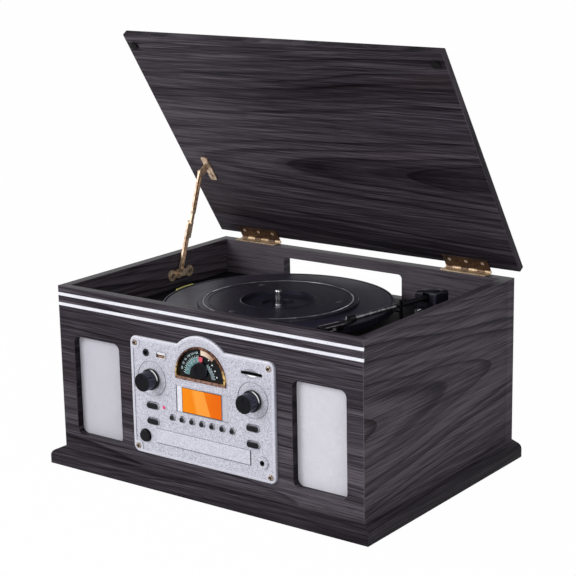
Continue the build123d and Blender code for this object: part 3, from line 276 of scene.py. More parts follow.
def woodFinish(name, along, seed, arch="front", lean=0.0, shade=0.0):
    f = Finish(name, specular=0.04, coatRough=0.22)
    x, y, z = f.split()
    nx, ny, nz = f.facing()
    turned = "side"
    if lean:
        rise, depth = z * sin(lean) - y * cos(lean), z * cos(lean) + y * sin(lean)
        side = nx.flat()
        line, height, far = pick(side, (x, rise, depth), (rise, depth, x))
        wearAndHighlight = x.beyond(boards["lidSide"]) * (1 - side)
        # painted light and shade on the lid: paler towards its upper left, darker towards its low end and its
        # right
        pale = x.fit(50 * mm, -200 * mm) * height.fit(100 * mm, 300 * mm) * wood["lidPaintedLight"]
        shade = shade - pale + height.fit(160 * mm, 20 * mm) * wood["lidPaintedShade"]
        shade = shade + x.fit(20 * mm, 160 * mm) * wood["lidPaintedShade"] * 0.6
        turned = "lid"
    elif along == "mitred":
        out = x.size() - boards["plinthSide"]
        back = y + boards["plinthFront"]
        side = (out + back).above(0.0) * out.above(-0.1 * mm)
        line, height, far = pick(side, (x, z + back * 0.8, y), (y + boards["front"], z - out * 0.8, x))
        ridge, full, faded = boards["plinthWearAndHighlight"]
        wearAndHighlight = z.above(ridge) * z.fit(faded, full)
        turned = "plinth"
    else:
        side, top = nx.flat(), nz.flat()
        line, height, far = pick(side, (x, z, y), (y + boards["front"], z, x))
        level = (x, y, z) if along == "x" else (y, x, z)
        line, height, far = pick(top, (line, height, far), level)
        f.feed(coat=top * wood["topGloss"])
        wearAndHighlight = x.beyond(boards["wearAndHighlightSide"]) * (1 - side)
        wearAndHighlight = wearAndHighlight.most((z - boards["wearAndHighlightTop"]).above(0.0) * (1 - top))
        wearAndHighlight = wearAndHighlight.most((-boards["wearAndHighlightFront"] - y).above(0.0) * side)
        # painted light: the inner faces are paler, where shade falls inside the box
        inner = y.within(boards["innerDepth"]) * x.within(boards["innerSide"])
        shade = shade - inner * wood["innerPaintedLight"]
        # painted light: paler towards the right and towards the front
        shade = shade - x.fit(-150 * mm, 200 * mm) * y.fit(160 * mm, 20 * mm) * wood["rightPaintedLight"]
    axis, cut, slant, ringDark = (a + side * (b - a) for a, b in zip(arches[arch], arches[turned]))
    # painted light: the back board's inner face is paler, with fewer ring lines
    if name == "wood_back_board":
        inner = (boards["innerBack"] - y).above(0.0)
        shade = shade - inner * wood["backPaintedLight"]
        ringDark = ringDark * (1 - inner * 0.7)
    if name == "wood_front_board":
        # painted shade on the side walls of the windows
        revealShade = x.within(boards["windowSide"]) * (1 - ny.flat()) * (1 - top)
        shade = shade + revealShade * wood["revealShade"]
    bend = f.noise(f.join(line * 2.6 + seed, height * 9.0, far * 2.0), 1.0, 2.0, 0.4) - 0.5
    ring = reach(height - axis + bend * wood["sway"], cut) + line * slant
    wander = f.noise(f.join(line * 2.0, ring * 45.0, seed), 1.0, 2.0, 0.5)
    turns = (ring * (1 / wood["ringGap"]) + wander * 2.4).turn()
    patchy = f.noise(f.join(line * 3.0, ring * 60.0, seed + 3.0), 1.0, 1.0, 0.5).fit(0.28, 0.60)
    lines = (turns**4.0) * turns.fit(1.0, 0.94) * patchy
    bands = f.noise(f.join(line * 1.1, ring * 190.0, height * 4.0 + seed), 1.0, 3.0) - 0.5
    broad = f.noise(f.join(line * 1.6, ring * 30.0, seed + 9.0), 1.0, 1.0, 0.5) - 0.5
    drift = height + bend * (12 * mm)
    streak = f.noise(f.join(line * 4.5, drift * 300.0, far * 40.0 + seed), 1.0, 3.0, 0.62) - 0.5
    fibre = f.noise(f.join(line * 12.0, drift * 1080.0, far * 150.0), 1.0) - 0.5
    pore = f.noise(f.join(line * 40.0, drift * 1500.0, far * 100.0), 1.0, 1.0, 0.5).fit(0.58, 0.70)
    tone = bands * 0.56 + broad * 0.5 + streak * 0.45 + fibre * 1.2 - lines * ringDark - pore * 0.16
    colour = f.node("ShaderNodeValToRGB", {"stops": wood["stops"]}, tone + 0.60 - shade)
    warm = f.noise(f.join(line * 3.0, height * 14.0, seed + 5.0), 1.0, 1.0, 0.5).fit(0.58, 0.76)
    colour = f.mix(warm * 0.28, colour, wood["brown"])
    # wear and painted highlight along the outer edges, the top rim and the front corners
    colour = f.mix(wearAndHighlight * 0.32, colour, wood["wearAndHighlight"])
    f.feed(colour=colour, rough=streak * 0.20 + fibre * 0.14 + wood["rough"])
    f.bump(fibre * 0.6 + streak * 0.5 - pore * 0.9 - lines * 0.4, 0.20, 0.3 * mm)
    return f


# Way of the grain, seed of its pattern, its arches, how much darker the board is
woods = {
    "front_board": ("x", 0.3, "front", 0.0),
    # the back board is paler overall, as painted light meant for its inner face
    "back_board": ("x", 0.3, "front", -0.08),
    "left_board": ("y", 0.3, "front", 0.0),
    "right_board": ("y", 0.3, "front", 0.0),
    "bottom_board": ("x", 5.3, "front", 0.0),
    "plinth_moulding": ("mitred", 7.7, "plinth", 0.13),
}

for name, (along, seed, arch, shade) in woods.items():
    dress(woodFinish("wood_" + name, along, seed, arch, shade=shade), name)
dress(woodFinish("wood_lid", "x", 6.4, "lid", lean=radians(56.8), shade=0.02), "lid_board")


def tarnish(f, blotch, wear, low, high):  # small blotches and broader wear between two metal colours
    return f.mix(blotch.fit(0.35, 0.68) * 0.6 + wear.fit(0.4, 0.65) * 0.4, low, high)


def metalFinish(name, low, high, rough, metal=1.0, grain=0.0, mottled=900.0):
    f = Finish(name, metal=metal)
    blotch = f.noise(f.place, mottled, 3.0)
    wear = f.noise(f.place, mottled * 0.18, 3.0)
    f.feed(colour=tarnish(f, blotch, wear, low, high), rough=wear * 0.22 + blotch * 0.12 + (rough - 0.15))
    if grain:
        f.bump(blotch, grain)
    return f


# Pale inlays with a dark joint line along both edges
inlay = {
    "rows": (191.9 * mm, 203.5 * mm),
    "half": 1.75 * mm,
    "silver": (rgb(224, 224, 234), rgb(240, 240, 248)),
    "joint": rgb(44, 40, 46),
}


def inlayFinish(name):
    f = Finish(name)
    z = f.split()[2]
    blotch = f.noise(f.place, 500.0, 3.0)
    wear = f.noise(f.place, 90.0, 3.0)
    lower, upper = inlay["rows"]
    joint = (z - lower).size().least((z - upper).size()).above(inlay["half"], 0.12 * mm)
    f.feed(
        colour=f.mix(joint * 0.9, tarnish(f, blotch, wear, *inlay["silver"]), inlay["joint"]),
        metal=0.75 - joint * 0.75,
        rough=wear * 0.22 + blotch * 0.12 + joint * 0.2 + 0.15,
    )
    f.bump(blotch - joint * 2.0, 0.03)
    return f


steel = metalFinish("polished_steel", rgb(176, 178, 184), rgb(222, 222, 226), 0.22, 1.0, 0.03)
dullSteel = metalFinish("plated_steel", rgb(120, 122, 128), rgb(160, 162, 166), 0.45, 0.9, 0.05)
armBrass = metalFinish("antique_brass", rgb(146, 118, 96), rgb(226, 202, 176), 0.32, 0.6, 0.06, 300.0)
bracketBrass = metalFinish("bracket_brass", rgb(170, 142, 114), rgb(244, 222, 194), 0.34, 0.5, 0.06, 340.0)
leafBronze = metalFinish("leaf_bronze", rgb(66, 50, 42), rgb(112, 86, 66), 0.36, 0.7, 0.06, 300.0)
paleBrass = metalFinish("pale_brass", rgb(156, 128, 98), rgb(236, 212, 176), 0.42, 0.45, 0.04, 420.0)
screwBronze = metalFinish("screw_bronze", rgb(176, 152, 132), rgb(236, 218, 200), 0.34, 0.4, 0.05, 600.0)
bushBrass = metalFinish("bush_brass", rgb(168, 132, 74), rgb(200, 168, 104), 0.32, 1.0, 0.04)
dress(inlayFinish("silver_trim"), "inlay_strips")
dress(steel, "spindle", "cue_lever")
dress(dullSteel, "drive_motor", "cd_mechanism")
dress(armBrass, "stay_lid_bracket", "stay_lower_arm", "stay_upper_arm")
dress(bracketBrass, "stay_wall_bracket")
dress(leafBronze, "hinge_lid_leaves")
dress(paleBrass, "hinge_box_leaves")
dress(screwBronze, "lid_screws")
dress(bushBrass, "spindle_bush", "motor_pulley")


# Panel screws: mottled bronze heads with a cross slot of painted shade, only bumped in
screws = {
    "aside": 93.0 * mm,
    "rows": (44.1 * mm, 164.4 * mm),
    "slot": (0.5 * mm, 1.9 * mm),  # half its width and half its length
    "heads": 150.0 * mm,  # the slot is only in front of this
    "bronze": (rgb(96, 76, 66), rgb(196, 180, 166)),
    "slotShade": rgb(30, 24, 24),
}


def screwFinish(name):
    f = Finish(name, metal=0.9)
    x, y, z = f.split()
    patch = f.noise(f.place, 520.0, 3.0)
    lower, upper = screws["rows"]
    dx = (x.size() - screws["aside"]).size()
    dz = (z - lower).size().least((z - upper).size())
    half, long = screws["slot"]
    slot = (half - dx).above(0.0, 0.1 * mm).most((half - dz).above(0.0, 0.1 * mm))
    slot = slot * (long - dx).above(0.0) * (long - dz).above(0.0) * (-screws["heads"] - y).above(0.0)
    colour = f.mix(slot, f.mix(patch.fit(0.36, 0.64), *screws["bronze"]), screws["slotShade"])
    f.feed(colour=colour, rough=patch * 0.25 + 0.2)
    f.bump(patch - slot * 2.0, 0.12)
    return f


dress(screwFinish("screw_mottled"), "cabinet_screws")


# Silver lacquer of the panel, with hammered specks about a millimetre across
panel = {
    "base": rgb(168, 168, 181),
    "pale": rgb(217, 217, 228),
    "speck": rgb(108, 108, 122),
    "paintedHighlight": rgb(240, 240, 246),
    "paintedShade": rgb(104, 104, 118),
    "bright": rgb(250, 250, 252),
    "speckPitch": 1050.0,
    "border": 156.5 * mm,  # how far forward the raised border starts
    "floor": 155.8 * mm,  # what lies further back than this gets painted shade
    "notch": (69.3 * mm, 154.8 * mm, 7.4 * mm, 3.7 * mm),  # thumb notch: middle, half width and height
}


def panelColour(f):
    cell = f.cells(f.place, panel["speckPitch"])
    grain = f.noise(f.place, 1250.0)
    clump = f.noise(f.place, 620.0)
    colour = f.mix(cell.fit(0.15, 0.75) * 0.6 + clump.fit(0.35, 0.65) * 0.4, panel["pale"], panel["base"])
    colour = f.mix((grain * 0.7 + clump * 0.3).fit(0.53, 0.62) * 0.85, colour, panel["speck"])
    return colour, cell * 0.5 + grain * 0.5 - clump * 0.3, grain


def panelFinish(name):
    f = Finish(name, metal=0.12, specular=0.4)
    x, y, z = f.split()
    colour, height, grain = panelColour(f)
    border = (y + panel["border"]).fit(0.1 * mm, -0.1 * mm)
    colour = f.mix(border * 0.35, colour, panel["pale"])
    nx, _, nz = f.facing()
    # painted light and shade: slopes facing up and left are paler, slopes facing down and right and the
    # recesses are darker
    paintedHighlight = (nx * -0.8 + nz * 0.35).fit(0.08, 0.5)
    paintedShade = (nx * 0.8 - nz * 0.35).fit(0.08, 0.5).most((y + panel["floor"]).above(0.0) * 0.5)
    colour = f.mix(paintedHighlight * 0.8, colour, panel["paintedHighlight"])
    colour = f.mix(paintedShade * 0.62, colour, panel["paintedShade"])
    # thumb notch: painted shade on its upper half, painted highlight on its lower half
    notchX, notchZ, notchW, notchH = panel["notch"]
    up = (z - notchZ) * (1 / notchH)
    notch = reach((x - notchX) * (1 / notchW), up).fit(1.04, 0.90)
    upper = up.above(0.0)
    colour = f.mix(notch * upper * 0.75, colour, panel["paintedShade"])
    colour = f.mix(notch * (1 - upper) * 0.95, colour, panel["bright"])
    f.feed(colour=colour, rough=grain * 0.2 + 0.34 - border * 0.08)
    f.bump(height - notch * 1.5, 0.34, 0.3 * mm)
    return f


# Drawer: its front like the panel, with painted shadow under the lip and at the right end, the tray behind in
# black plastic
drawer = {
    "front": 153.8 * mm,
    "lip": 53.1 * mm,
    "right": 65.5 * mm,
    "shadow": rgb(48, 48, 56),
    "tray": rgb(26, 26, 29),
}


def drawerFinish(name):
    f = Finish(name, specular=0.4, coat=0.1, coatRough=0.3)
    x, y, z = f.split()
    colour, height, grain = panelColour(f)
    tray = (y + drawer["front"]).above(0.0)
    colour = f.mix(grain.fit(0.3, 0.7) * 0.5, colour, panel["pale"])
    under = (drawer["lip"] - z).above(0.0, 0.2 * mm).most((x - drawer["right"]).above(0.0))
    colour = f.mix(under * 0.85, colour, drawer["shadow"])
    f.feed(colour=f.mix(tray, colour, drawer["tray"]), rough=grain * 0.2 + 0.36)
    f.bump(height * (1 - tray), 0.22, 0.3 * mm)
    return f


dress(panelFinish("hammered_silver"), "fascia_plate")
dress(drawerFinish("drawer_silver"), "cd_tray")


def dusted(f, fine, dust, colour, lighter):  # patches of dust and a fine grain over a colour
    return f.mix(dust.fit(0.35, 0.8) * 0.6 + fine * 0.2, colour, lighter)


def plasticFinish(name, colour, lighter, rough, grain, pitch=1400.0, **fixed):
    f = Finish(name, **fixed)
    fine = f.noise(f.place, pitch)
    dust = f.noise(f.place, 160.0, 3.0)
    f.feed(colour=dusted(f, fine, dust, colour, lighter), rough=fine * 0.12 + dust * 0.10 + (rough - 0.10))
    f.bump(fine, grain)
    return f


blackSatin = plasticFinish("black_satin", rgb(10, 9, 12), rgb(30, 28, 33), 0.32, 0.05, specular=0.12)
blackGloss = plasticFinish("black_gloss", rgb(8, 8, 11), rgb(26, 26, 31), 0.20, 0.03, specular=0.14)
blackMatt = plasticFinish("black_matt", rgb(13, 12, 15), rgb(30, 28, 33), 0.60, 0.18, specular=0.12)
dialBlack = plasticFinish("dial_black", rgb(7, 8, 10), rgb(22, 24, 28), 0.2, 0.02, specular=0.12)
rubber = plasticFinish("black_rubber", rgb(12, 12, 13), rgb(28, 28, 30), 0.70, 0.25, 900.0, specular=0.12)
cardGreen = plasticFinish("card_green", rgb(26, 70, 44), rgb(48, 98, 62), 0.5, 0.15, 600.0)
pointerRed = plasticFinish("pointer_red", rgb(170, 26, 24), rgb(214, 60, 50), 0.35, 0.03)
dress(blackSatin, "speed_switch")
dress(blackGloss, "power_button", "tonearm_rest", "stylus_cartridge")
dress(blackMatt, "deck_plate", "speaker_drivers", "tonearm_base")
dress(dialBlack, "dial_face")
dress(rubber, "drive_belt", "lid_bumpers")
dress(cardGreen, "control_board")
dress(pointerRed, "dial_pointer")


# Knobs: matt face, fluted skirt with a painted grey sheen, polished collar with one thin painted highlight on
# its upper right
knobs = {
    "volume_knob": (-70.5 * mm, 125.6 * mm, 10.4 * mm),  # middle, radius of the skirt
    "function_knob": (70.5 * mm, 125.6 * mm, 10.4 * mm),
    "tuning_knob": (0.0, 146.9 * mm, 8.9 * mm),
}

knobLook = {
    "face": (rgb(8, 8, 12), rgb(24, 23, 31)),
    "skirt": rgb(66, 66, 84),
    "collar": rgb(14, 13, 19),
    "line": rgb(250, 250, 252),
    "lineY": 160.4 * mm,
}


def knobFinish(name, middleX, middleZ, outer):
    f = Finish(name + "_black", specular=0.09, coatRough=0.06)
    x, y, z = f.split()
    ny = f.facing()[1]
    dx, dz = x - middleX, z - middleZ
    radius = reach(dx, dz)
    collar = (radius - (outer + 0.4 * mm)).above(0.0, 0.2 * mm)
    # painted sheen: the skirt's sides are greyer
    skirt = ny.size().fit(0.75, 0.45) * (1 - collar)
    fine = f.noise(f.place, 1500.0)
    turned = (radius * 7000.0).wave() * 0.5 + 0.5
    flutes = f.noise(f.stretch(1.0, 0.08, 1.0), 1300.0)
    dust = f.noise(f.place, 220.0, 3.0).fit(0.4, 0.75)
    colour = f.mix(dust * 0.4 + turned * 0.12, *knobLook["face"])
    colour = f.mix(skirt * flutes.fit(0.3, 0.7), colour, knobLook["skirt"])
    # painted highlight: a thin line round the collar's front edge, on its upper right only
    upRight = (dx * 0.75 + dz * 0.66) / radius
    line = (radius - (outer + 0.3 * mm)).above(0.0) * (y + knobLook["lineY"]).size().fit(0.5 * mm, 0.2 * mm)
    colour = f.mix(collar, colour, knobLook["collar"])
    f.feed(
        colour=f.mix(line * upRight.fit(0.72, 0.92) * 0.85, colour, knobLook["line"]),
        rough=fine * 0.12 + 0.44 - collar * 0.34 - skirt * 0.12,
        coat=collar * 0.25 + skirt * 0.15,
    )
    f.bump(fine * 0.6 + turned * 0.4, 0.06)
    return f


for name, place in knobs.items():
    dress(knobFinish(name, *place), name)


# Push buttons: glossy black caps with a faint painted highlight on their slanted edges, on pale metal collars
buttons = {
    "collarFrom": -157.1 * mm,
    "cap": (rgb(9, 9, 12), rgb(30, 29, 36)),
    "edge": rgb(84, 82, 94),
    "collar": (rgb(206, 206, 214), rgb(242, 242, 248)),
}


def buttonFinish(name):
    f = Finish(name, specular=0.14, coatRough=0.08)
    y = f.split()[1]
    collar = (y - buttons["collarFrom"]).above(0.0)
    # painted highlight on the cap's slanted edges
    edge = f.facing()[1].size().fit(0.97, 0.75)
    fine = f.noise(f.place, 1400.0)
    colour = dusted(f, fine, f.noise(f.place, 300.0, 3.0), *buttons["cap"])
    colour = f.mix(edge * 0.16, colour, buttons["edge"])
    colour = f.mix(collar, colour, f.mix(fine, *buttons["collar"]))
    f.feed(colour=colour, metal=collar * 0.3, rough=fine * 0.12 + 0.2, coat=edge * (1 - collar) * 0.3)
    f.bump(fine, 0.03)
    return f


pills = ["pill_%s_%s" % (level, side) for side in ("left", "right") for level in ("upper", "lower")]
dress(buttonFinish("preset_black"), *["preset_button_%d" % i for i in range(1, 8)])
dress(buttonFinish("pill_black"), *pills)


# Rear terminals: red and white rings round the two line sockets
terminals = {
    "black": (rgb(14, 13, 16), rgb(32, 30, 35)),
    "rings": ((-30 * mm, rgb(176, 30, 30)), (-14 * mm, rgb(222, 222, 224))),
    "height": 62 * mm,
    "outer": (5.2 * mm, 4.9 * mm),
    "from": 154.5 * mm,
    "dirt": rgb(120, 110, 110),
}


def terminalFinish(name):
    f = Finish(name, specular=0.2)
    x, y, z = f.split()
    fine = f.noise(f.place, 1300.0)
    dust = f.noise(f.place, 140.0, 3.0)
    colour = dusted(f, fine, dust, *terminals["black"])
    for middle, ringColour in terminals["rings"]:
        ring = reach(x - middle, z - terminals["height"]).fit(*terminals["outer"])
        ring = ring * y.above(terminals["from"])
        colour = f.mix(ring, colour, f.mix(fine * 0.3, ringColour, terminals["dirt"]))
    f.feed(colour=colour, rough=fine * 0.12 + dust * 0.1 + 0.42)
    f.bump(fine, 0.14)
    return f


dress(terminalFinish("terminal_black"), "rear_terminal_plate")


# Headshell: black, with wear and painted highlight along both edges, a metal finger lift at one side; its
# front and way on the plan
shell = {
    "start": (132.2 * mm, -68.02 * mm),
    "way": (-0.2554, -0.9668),
    "liftFrom": 7.8 * mm,
    "edgeTop": 201.2 * mm,
    "edge": (4.4 * mm, 6.6 * mm),
    "black": (rgb(13, 12, 16), rgb(34, 32, 38)),
    "wearAndHighlight": rgb(168, 162, 168),
    "metal": rgb(214, 212, 216),
}


def shellFinish(name):
    f = Finish(name, specular=0.16)
    x, y, z = f.split()
    dx, dy = x - shell["start"][0], y - shell["start"][1]
    aside = dy * shell["way"][0] - dx * shell["way"][1]
    lift = (aside - shell["liftFrom"]).above(0.0)
    near, far = shell["edge"]
    # pale bands along both top edges: wear and painted highlight
    edge = (z - shell["edgeTop"]).above(0.0) * aside.beyond(near) * aside.within(far)
    fine = f.noise(f.place, 1200.0)
    wearAndHighlight = f.noise(f.place, 260.0, 3.0).fit(0.35, 0.7)
    colour = f.mix(wearAndHighlight * 0.5, *shell["black"])
    colour = f.mix(edge * (wearAndHighlight * 0.5 + 0.5), colour, shell["wearAndHighlight"])
    colour = f.mix(lift, colour, shell["metal"])
    f.feed(colour=colour, metal=lift * 0.9, rough=fine * 0.14 + 0.26 - lift * 0.08)
    f.bump(fine, 0.05)
    return f


dress(shellFinish("headshell_black"), "headshell")


# Arm tube: satin grey metal, black and not metal over its last part in front of the housing
tube = {
    "darkEndFrom": (11.0 * mm, 16.0 * mm),
    "grey": (rgb(96, 96, 102), rgb(150, 150, 156)),
    "darkEnd": (rgb(12, 11, 15), rgb(30, 28, 34)),
}


def tubeFinish(name):
    f = Finish(name, specular=0.1)
    darkEnd = f.split()[1].fit(*tube["darkEndFrom"])
    wear = f.noise(f.place, 160.0, 3.0)
    fine = f.noise(f.stretch(1.0, 0.1, 1.0), 1200.0)
    colour = f.mix(darkEnd, f.mix(wear.fit(0.35, 0.68), *tube["grey"]), f.mix(fine, *tube["darkEnd"]))
    f.feed(colour=colour, metal=0.9 - darkEnd * 0.9, rough=wear * 0.2 + fine * 0.1 + darkEnd * 0.12 + 0.15)
    f.bump(fine, 0.03)
    return f


dress(tubeFinish("arm_grey"), "tonearm_tube")


# Dial surround: dark brown lacquer over bronze, with painted highlights low on both sides
bezel = {
    "bronze": (rgb(52, 34, 28), rgb(122, 86, 66)),
    "paintedHighlight": rgb(226, 190, 122),
    "highlightFrom": (28.5 * mm, 136.5 * mm),
    "highlightTo": (156.0 * mm, 144.0 * mm),
    "bar": (137.2 * mm, 136.4 * mm),
    "barPale": rgb(164, 128, 116),
}


def bezelFinish(name):
    f = Finish(name, metal=1.0)
    x, _, z = f.split()
    patch = f.noise(f.place, 260.0, 3.0)
    fine = f.noise(f.place, 1400.0, 2.0, 0.5)
    aside, low = bezel["highlightFrom"]
    # painted highlights low on both sides
    paintedHighlight = x.beyond(aside, 1.5 * mm) * z.fit(*bezel["highlightTo"]) * z.above(low, 1 * mm)
    colour = f.mix(patch.fit(0.35, 0.66), *bezel["bronze"])
    colour = f.mix(paintedHighlight * patch.fit(0.3, 0.6), colour, bezel["paintedHighlight"])
    bar = z.fit(*bezel["bar"]) * (patch.fit(0.4, 0.6) * 0.5 + 0.3)
    f.feed(colour=f.mix(bar, colour, bezel["barPale"]), rough=patch * 0.2 + fine * 0.1 + 0.16)
    f.bump(fine, 0.03)
    return f


dress(bezelFinish("dial_bronze"), "dial_bezel")


# Sockets: each one's middle, and the radius or half sizes of its opening; pairs are where a soft edge runs
sockets = {
    "line": (-77.7 * mm, 154.9 * mm),
    "lineEdge": (6.0 * mm, 5.5 * mm),
    "phone": (82.4 * mm, 58.4 * mm, 3.1 * mm),
    "phoneEdge": (10.0 * mm, 9.0 * mm),
    "phoneFront": 156.2 * mm,
    "usb": (-56.1 * mm, 154.9 * mm, 6.2 * mm, 2.6 * mm),
    "usbEdge": ((9.0 * mm, 8.5 * mm), (5.5 * mm, 5.0 * mm)),
    "usbFront": 153.0 * mm,
    "card": (69.3 * mm, 154.8 * mm),
    "cardEdge": ((16.5 * mm, 16.0 * mm), (4.0 * mm, 3.5 * mm)),
    "metal": (rgb(196, 196, 202), rgb(232, 232, 238)),
    "black": (rgb(8, 8, 10), rgb(22, 22, 26)),
}


def socketFinish(name):
    f = Finish(name, specular=0.3)
    x, y, z = f.split()
    fine = f.noise(f.place, 1200.0)
    colour, height, _ = panelColour(f)

    def around(middleX, middleZ, edgeX, edgeZ):  # 1 within a rectangle
        return (x - middleX).size().fit(*edgeX) * (z - middleZ).size().fit(*edgeZ)

    lineX, lineZ = sockets["line"]
    lineJack = reach(x - lineX, z - lineZ).fit(*sockets["lineEdge"])
    phoneX, phoneZ, phoneR = sockets["phone"]
    hole = reach(x - phoneX, z - phoneZ)
    phone = hole.fit(phoneR + 0.1 * mm, phoneR - 0.1 * mm)
    phone = phone.most(hole.fit(*sockets["phoneEdge"]) * (y + sockets["phoneFront"]).above(0.0))
    usbX, usbZ, usbW, usbH = sockets["usb"]
    inUsb = around(usbX, usbZ, *sockets["usbEdge"])
    opening = (x - usbX).within(usbW) * (z - usbZ).within(usbH)
    usbShell = inUsb * (1 - opening * (y + sockets["usbFront"]).above(0.0))
    card = around(*sockets["card"], *sockets["cardEdge"])
    black = lineJack.most(phone).most(inUsb * (1 - usbShell)).most(card)
    colour = f.mix(usbShell, colour, f.mix(fine.fit(0.3, 0.7), *sockets["metal"]))
    colour = f.mix(black, colour, f.mix(fine, *sockets["black"]))
    f.feed(colour=colour, metal=usbShell * 0.9, rough=fine * 0.15 + 0.28)
    f.bump(height * (1 - black), 0.2, 0.3 * mm)
    return f


dress(socketFinish("socket_mixed"), "port_sockets")


# Platter: black with a painted bluish sheen, paler from the rim outward, turned rings of different polish,
# one moulding seam across it
platter = {
    "middle": (-9.5 * mm, -2.5 * mm),
    "top": 191.4 * mm,
    "rim": 93.5 * mm,  # greyer from here outward
    "edge": (131.8 * mm, 188.0 * mm),
    "seamAt": (46.0 * mm, 113.0 * mm, 111.0 * mm),
    "black": rgb(16, 14, 21),
    "pale": rgb(50, 48, 64),
    "seam": rgb(74, 72, 80),
}


def platterFinish(name):
    f = Finish(name, specular=0.13)
    x, y, z = f.split()
    dx, dy = x - platter["middle"][0], y - platter["middle"][1]
    radius = reach(dx, dy)
    rings = (radius * 6200.0).wave() * 0.5 + 0.5
    rim = radius.above(platter["rim"], 0.6 * mm)
    edge = radius.above(platter["edge"][0], 0.4 * mm) * z.above(platter["edge"][1])
    broad = f.noise(f.join(radius * 110.0, 0.0, 0.0), 1.0)
    fine = f.noise(f.place, 900.0, 2.0, 0.5)
    dust = f.noise(f.place, 46.0, 4.0, 0.62)
    scuff = f.noise(f.stretch(1.0, 0.12, 1.0), 160.0, 3.0).fit(0.52, 0.8)
    # paler: a painted bluish sheen from the rim outward, with dust, scuffs and turned rings
    amount = rim * 0.26 + broad * 0.26 + dust.fit(0.3, 0.7) * 0.26 + scuff * 0.22 + rings * 0.10
    colour = f.mix(amount.least(1.0), platter["black"], platter["pale"])
    near, far, full = platter["seamAt"]
    seam = (dx + dy).size().fit(0.8 * mm, 0.4 * mm) * radius.above(near) * radius.fit(far, full)
    # painted highlight: the top edge of the rim is paler
    colour = f.mix(seam * 0.5 + edge * 0.5, colour, platter["seam"])
    f.feed(colour=colour, rough=fine * 0.12 + dust * 0.16 + broad * 0.14 + 0.14)
    f.bump(rings * 0.5 + fine * 0.3 + seam * 1.5, 0.12)
    return f


dress(platterFinish("platter_black"), "platter")


# Power light, paler towards its upper right
def ledFinish(name, low, high, power):
    f = Finish(name, glowPower=power, rough=0.2, coat=0.6, coatRough=0.05)
    x, _, z = f.split()
    sheen = (x * 0.8 + z * 0.6).fit(55 * mm, 95 * mm)
    cloud = f.noise(f.place, 40.0, 2.0, 0.5)
    colour = f.mix(sheen * 0.5 + cloud * 0.3, low, high)
    f.feed(colour=colour, glow=colour)
    return f


dress(ledFinish("lamp_pink", rgb(196, 40, 96), rgb(232, 104, 148), 0.4), "power_led")


# Display: lit orange screen between two pale strips, with a soft wedge of light on it
display = {
    "half": (27.75 * mm, 14.25 * mm),
    "middle": 109.4 * mm,
    "line": 0.6 * mm,
    "stripEnd": (35.2 * mm, 14.6 * mm),
    "wedgeLeft": 10.5 * mm,
    "wedgeRight": 7.5 * mm,
    "deep": rgb(226, 92, 0),
    "bright": rgb(244, 142, 12),
    "wedge": rgb(250, 172, 72),
    "edge": rgb(52, 26, 16),
    "unlit": rgb(24, 8, 0),
    "strip": (rgb(206, 206, 214), rgb(230, 230, 238)),
    "stripRight": rgb(150, 150, 162),
    "stripOuter": rgb(120, 120, 134),
    "power": 0.50,
}


def displayFinish(name):
    f = Finish(name, glowPower=display["power"], specular=0.08)
    x, _, z = f.split()
    up = z - display["middle"]
    halfX, halfZ = display["half"]
    line = display["line"]
    screen = x.within(halfX) * up.within(halfZ)
    inner = x.within(halfX - line, 0.2 * mm) * up.within(halfZ - line, 0.2 * mm)
    cloud = f.noise(f.place, 36.0, 3.0)
    fine = f.noise(f.place, 900.0, 2.0, 0.5)
    lit = f.mix(x.fit(26 * mm, -30 * mm) * 0.7 + cloud * 0.4, display["deep"], display["bright"])
    wedge = (x + up * 0.22 + display["wedgeLeft"]).above(0.0, 3.5 * mm)
    wedge = wedge * (display["wedgeRight"] - x + up * -0.32).above(0.0, 0.6 * mm)
    lit = f.mix(wedge * 0.62, lit, display["wedge"])
    lit = f.mix(1 - inner, lit, display["edge"])
    strip = f.mix(fine.fit(0.3, 0.7), *display["strip"])
    strip = f.mix(x.above(0.0) * 0.55, strip, display["stripRight"])
    endX, endZ = display["stripEnd"]
    outer = x.beyond(endX).most(up.beyond(endZ))
    strip = f.mix(outer * 0.7, strip, display["stripOuter"])
    f.feed(
        colour=f.mix(screen, strip, f.mix(0.5, lit, display["unlit"])),
        glow=f.mix(screen, rgb(0, 0, 0), lit),
        rough=fine * 0.1 + 0.16,
    )
    return f


dress(displayFinish("screen_orange"), "display_window")
print("node finishes done")


# Camera fitted to the photograph: focal length in pixels of its frame, angles in degrees
shot = {
    "focal": 1655.0,
    "pixels": 576,
    "sensor": 36.0,
    "azimuth": 36.77,
    "elevation": 14.17,
    "roll": -1.06,
    "distance": 1886.85 * mm,
    "target": (2.92 * mm, 0.0, 205.74 * mm),
}


def makeCamera():
    az, el, roll = (radians(shot[k]) for k in ("azimuth", "elevation", "roll"))
    back = Vector((sin(az) * cos(el), -cos(az) * cos(el), sin(el)))
    right = (-back).cross(Vector((0, 0, 1))).normalized()
    up = right.cross(-back)
    right, up = right * cos(roll) + up * sin(roll), -right * sin(roll) + up * cos(roll)
    data = bpy.data.cameras.new("photo_camera")
    data.sensor_width = shot["sensor"]
    data.lens = shot["focal"] / shot["pixels"] * shot["sensor"]
    data.clip_start, data.clip_end = 0.05, 20.0
    cam = bpy.data.objects.new("photo_camera", data)
    scene.collection.objects.link(cam)
    turn = Matrix((right, up, back)).transposed().to_4x4()
    cam.matrix_world = Matrix.Translation(Vector(shot["target"]) + back * shot["distance"]) @ turn
    scene.camera = cam


